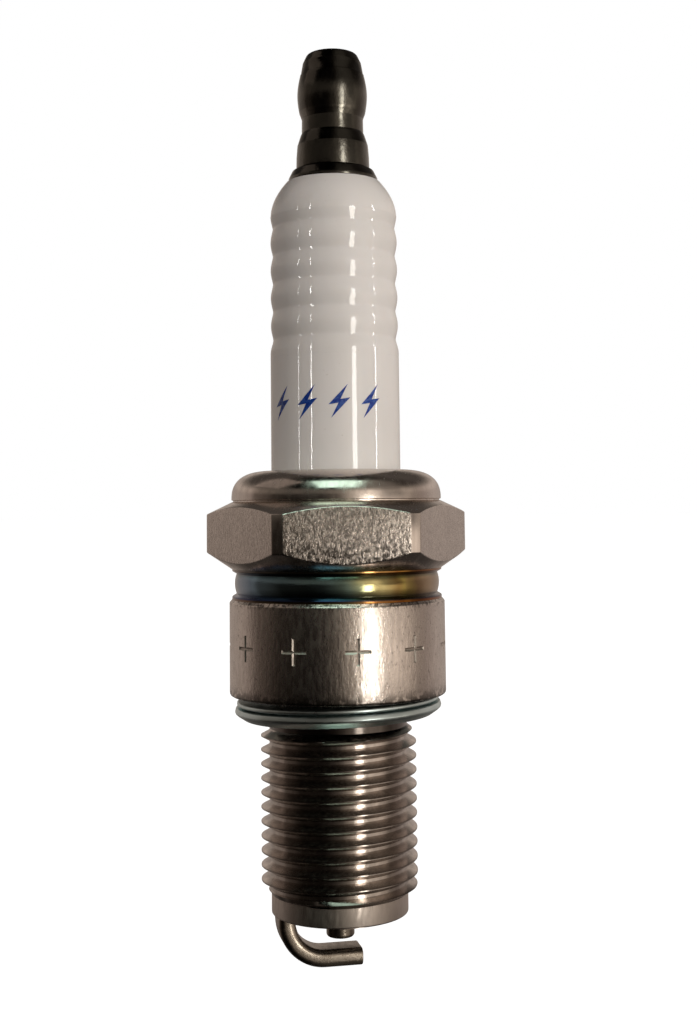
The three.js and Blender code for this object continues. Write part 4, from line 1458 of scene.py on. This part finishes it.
nut_outline = [
    (NUT_BORE_R, NUT_BOTTOM, 0.1),
    (SKIRT_R, NUT_BOTTOM, 0.12),
    (SKIRT_R - 0.03, NUT_BOTTOM + 1.2, 0),
    (SKIRT_R - 0.12, NUT_BOTTOM + 2.3, 0.3),
    (2.97, NUT_BOTTOM + 3.25, 0.08),
    (2.86, NUT_BOTTOM + 3.45, 0.1),
    (2.84, NUT_BOTTOM + 4.8, 0.2),
    (2.96, NUT_BOTTOM + 5.15, 0.06),
    *plain(bulge(NUT_BOTTOM + 5.4, NUT_BOTTOM + 8.95, 3.06, 3.24, 2.97, 16)),
    (2.945, NUT_BOTTOM + 9.0, 0),
    (2.90, NUT_BOTTOM + 9.06, 0),
    (2.72, NUT_BOTTOM + 10.1, 0.6),
    (2.3, NUT_TOP, 0.5),
    (0, NUT_TOP, 0),
    (0, STUD_TOP + 0.5, 0),
    (NUT_BORE_R, STUD_TOP + 0.5, 0.2),
]
nut = turned("terminal_nut_turned", nut_outline, gunmetal, sides=160, steps=7)
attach(nut, "nut")
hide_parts("terminal_nut")
terminal_only.objects.link(nut)
terminal_only.objects.link(stud)
print(f"nut has {len(nut.data.vertices)} vertices")

# %% [markdown]
# ## Crush gasket
#
# The gasket is strip, folded over twice and pressed into a ring. It hangs loose under
# the seat until the plug is first tightened, so it sits slightly askew.

# %% Crush gasket
GASKET_BORE = ROOT_R + 0.3
STRIP = 0.4
GASKET_TILT = math.radians(1.5)
TILT_AXIS = (0.15, -1, 0)
GASKET_DROP = 0.16

fold = [
    (GASKET_BORE, GASKET_BOTTOM, 0.15),
    (GASKET_R - 0.85, GASKET_BOTTOM, 0.3),
    (GASKET_R - 0.22, GASKET_BOTTOM + 0.42, 0.2),
    (GASKET_R - 0.06, GASKET_BOTTOM + 0.56, 0.03),
    (GASKET_R, GASKET_BOTTOM + 0.72, 0.2),
    (GASKET_R - 0.1, GASKET_TOP - STRIP - 0.15, 0.12),
    (GASKET_BORE + STRIP, GASKET_TOP - STRIP - 0.15, 0.05),
    (GASKET_BORE + STRIP, GASKET_TOP - STRIP, 0.05),
    (GASKET_R - 0.2, GASKET_TOP - STRIP, 0.15),
    (GASKET_R - 0.2, GASKET_TOP, 0.18),
    (GASKET_BORE, GASKET_TOP, 0.18),
    (GASKET_BORE, GASKET_BOTTOM + STRIP + 0.15, 0.05),
    (GASKET_R - 0.85 - STRIP, GASKET_BOTTOM + STRIP + 0.15, 0.05),
    (GASKET_R - 0.85 - STRIP, GASKET_BOTTOM + STRIP, 0.05),
    (GASKET_BORE, GASKET_BOTTOM + STRIP, 0.15),
]
gasket = turned("crush_gasket_folded", fold, zinc_plate, sides=160)
middle = Vector((0, 0, (GASKET_BOTTOM + GASKET_TOP) / 2 * MM))
hang = middle - Vector((0, 0, GASKET_DROP * MM))
lean = Matrix.Rotation(GASKET_TILT, 4, TILT_AXIS)
gasket.data.transform(Matrix.Translation(hang) @ lean @ Matrix.Translation(-middle))
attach(gasket, "gasket")
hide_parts("crush_gasket")
print(f"gasket has {len(gasket.data.vertices)} vertices")

# %% [markdown]
# ## Electrodes
#
# The centre electrode is a nickel-alloy cup drawn over a copper core. Only its tip shows,
# with its edge rounded a little. It is a turned outline like the rest.

# %% Centre electrode
ELECTRODE_R = 1.25
HEAD_BOTTOM = HEAD_TOP - 1.2
CUP_R = 0.83  # the hollow that holds the copper
CUP_FLOOR = ELECTRODE_TIP + 2.57

sheath = [
    (0, ELECTRODE_TIP, 0),
    (ELECTRODE_R, ELECTRODE_TIP, 0.3),
    (ELECTRODE_R, HEAD_BOTTOM, 0.1),
    (HEAD_R, HEAD_BOTTOM, 0.1),
    (HEAD_R, HEAD_TOP, 0.1),
    (CUP_R, HEAD_TOP, 0),
    (CUP_R, CUP_FLOOR, 0),
    (0, CUP_FLOOR, 0),
]
electrode = turned("centre_electrode_drawn", sheath, nickel_alloy, sides=96, steps=6)
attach(electrode, "plug_body")
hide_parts("centre_electrode")
print(f"centre electrode tip at {ELECTRODE_TIP:.2f} mm")

# %% [markdown]
# The ground electrode is a flattened bar with rounded edges, welded at its foot and bent
# under the tip. A curve with a bevel profile could draw it, but sweeping the section
# along the bar's own middle line keeps its width true through the bend: a short leg, a
# quarter turn and the arm.

# %% The ground electrode's middle line
BAR_THICK = 1.5
BAR_WIDE = 3.0
BAR_EDGE = 0.55
BEND_R = 3.4
FOOT_INSET = 0.35
PAST_AXIS = 1.75  # how far the arm reaches beyond the plug's axis
FOOT_TURN = math.radians(12)
FOOT_R = PILOT_R - FOOT_INSET - BAR_THICK / 2
FOOT_Z = span("ground_electrode")[2]
ARM_Z = ARM_BOTTOM + BAR_THICK / 2
leg = FOOT_Z - (ARM_Z + BEND_R)
bend_length = BEND_R * math.pi / 2
arm = FOOT_R - BEND_R + PAST_AXIS


def along_bar(distance):
    """The bar's middle line and its direction, as (x, z) pairs, a distance from the foot."""
    if distance < leg:
        return (-FOOT_R, FOOT_Z - distance), (0.0, -1.0)
    if distance < leg + bend_length:
        turn = (distance - leg) / BEND_R
        x = -FOOT_R + BEND_R * (1 - math.cos(turn))
        z = ARM_Z + BEND_R * (1 - math.sin(turn))
        return (x, z), (math.sin(turn), -math.cos(turn))
    return (-FOOT_R + BEND_R + distance - leg - bend_length, ARM_Z), (1.0, 0.0)


print(f"leg {leg:.2f} mm, bend {bend_length:.2f} mm, arm {arm:.2f} mm")

# %% Sweep the ground electrode
SWEEP_STEPS = 64
END_BEVEL = 0.12

corner = [
    (-BAR_WIDE / 2, -BAR_THICK / 2, BAR_EDGE),
    (BAR_WIDE / 2, -BAR_THICK / 2, BAR_EDGE),
    (BAR_WIDE / 2, BAR_THICK / 2, BAR_EDGE),
    (-BAR_WIDE / 2, BAR_THICK / 2, BAR_EDGE),
]
section = rounded(corner, steps=6)
bar_vertices = []
for step in range(SWEEP_STEPS + 1):
    distance = (leg + bend_length + arm) * step / SWEEP_STEPS
    (x, z), (dx, dz) = along_bar(distance)
    for across, through in section:
        bar_vertices.append(((x - dz * through) * MM, across * MM, (z + dx * through) * MM))
count = len(section)
last_ring = count * SWEEP_STEPS
bar_faces = [list(range(count)), list(range(last_ring + count - 1, last_ring - 1, -1))]
for step in range(SWEEP_STEPS):
    for i in range(count):
        j = (i + 1) % count
        low = step * count
        bar_faces.append([low + i, low + j, low + count + j, low + count + i])
strap = mesh_object("ground_electrode_bent", bar_vertices, bar_faces, [nickel_alloy])
strap.data.transform(Matrix.Rotation(FOOT_TURN, 4, "Z"))
bevelled(strap, "sheared end", END_BEVEL, 60)
shade(strap.data, 35)
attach(strap, "earth_strap")
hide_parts("ground_electrode")
print(f"spark gap {ELECTRODE_TIP - (ARM_BOTTOM + BAR_THICK):.2f} mm")

# %% [markdown]
# ## Inner pieces
#
# The pieces that the shell and the insulator hide keep the frame's own solids. Each
# still gets its real finish, for anyone who takes the plug apart.

# %% Finish the inner pieces
INNER = {
    "upper_packing_ring": drawn_steel,
    "lower_packing_ring": drawn_steel,
    "talc_packing": pressed_talc,
    "seat_washer": copper,
    "copper_core": copper,
    "glass_seal": fused_glass,
}
for node, material in INNER.items():
    for material_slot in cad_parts[node].material_slots:
        material_slot.material = material
print(f"{len(INNER)} inner pieces finished")
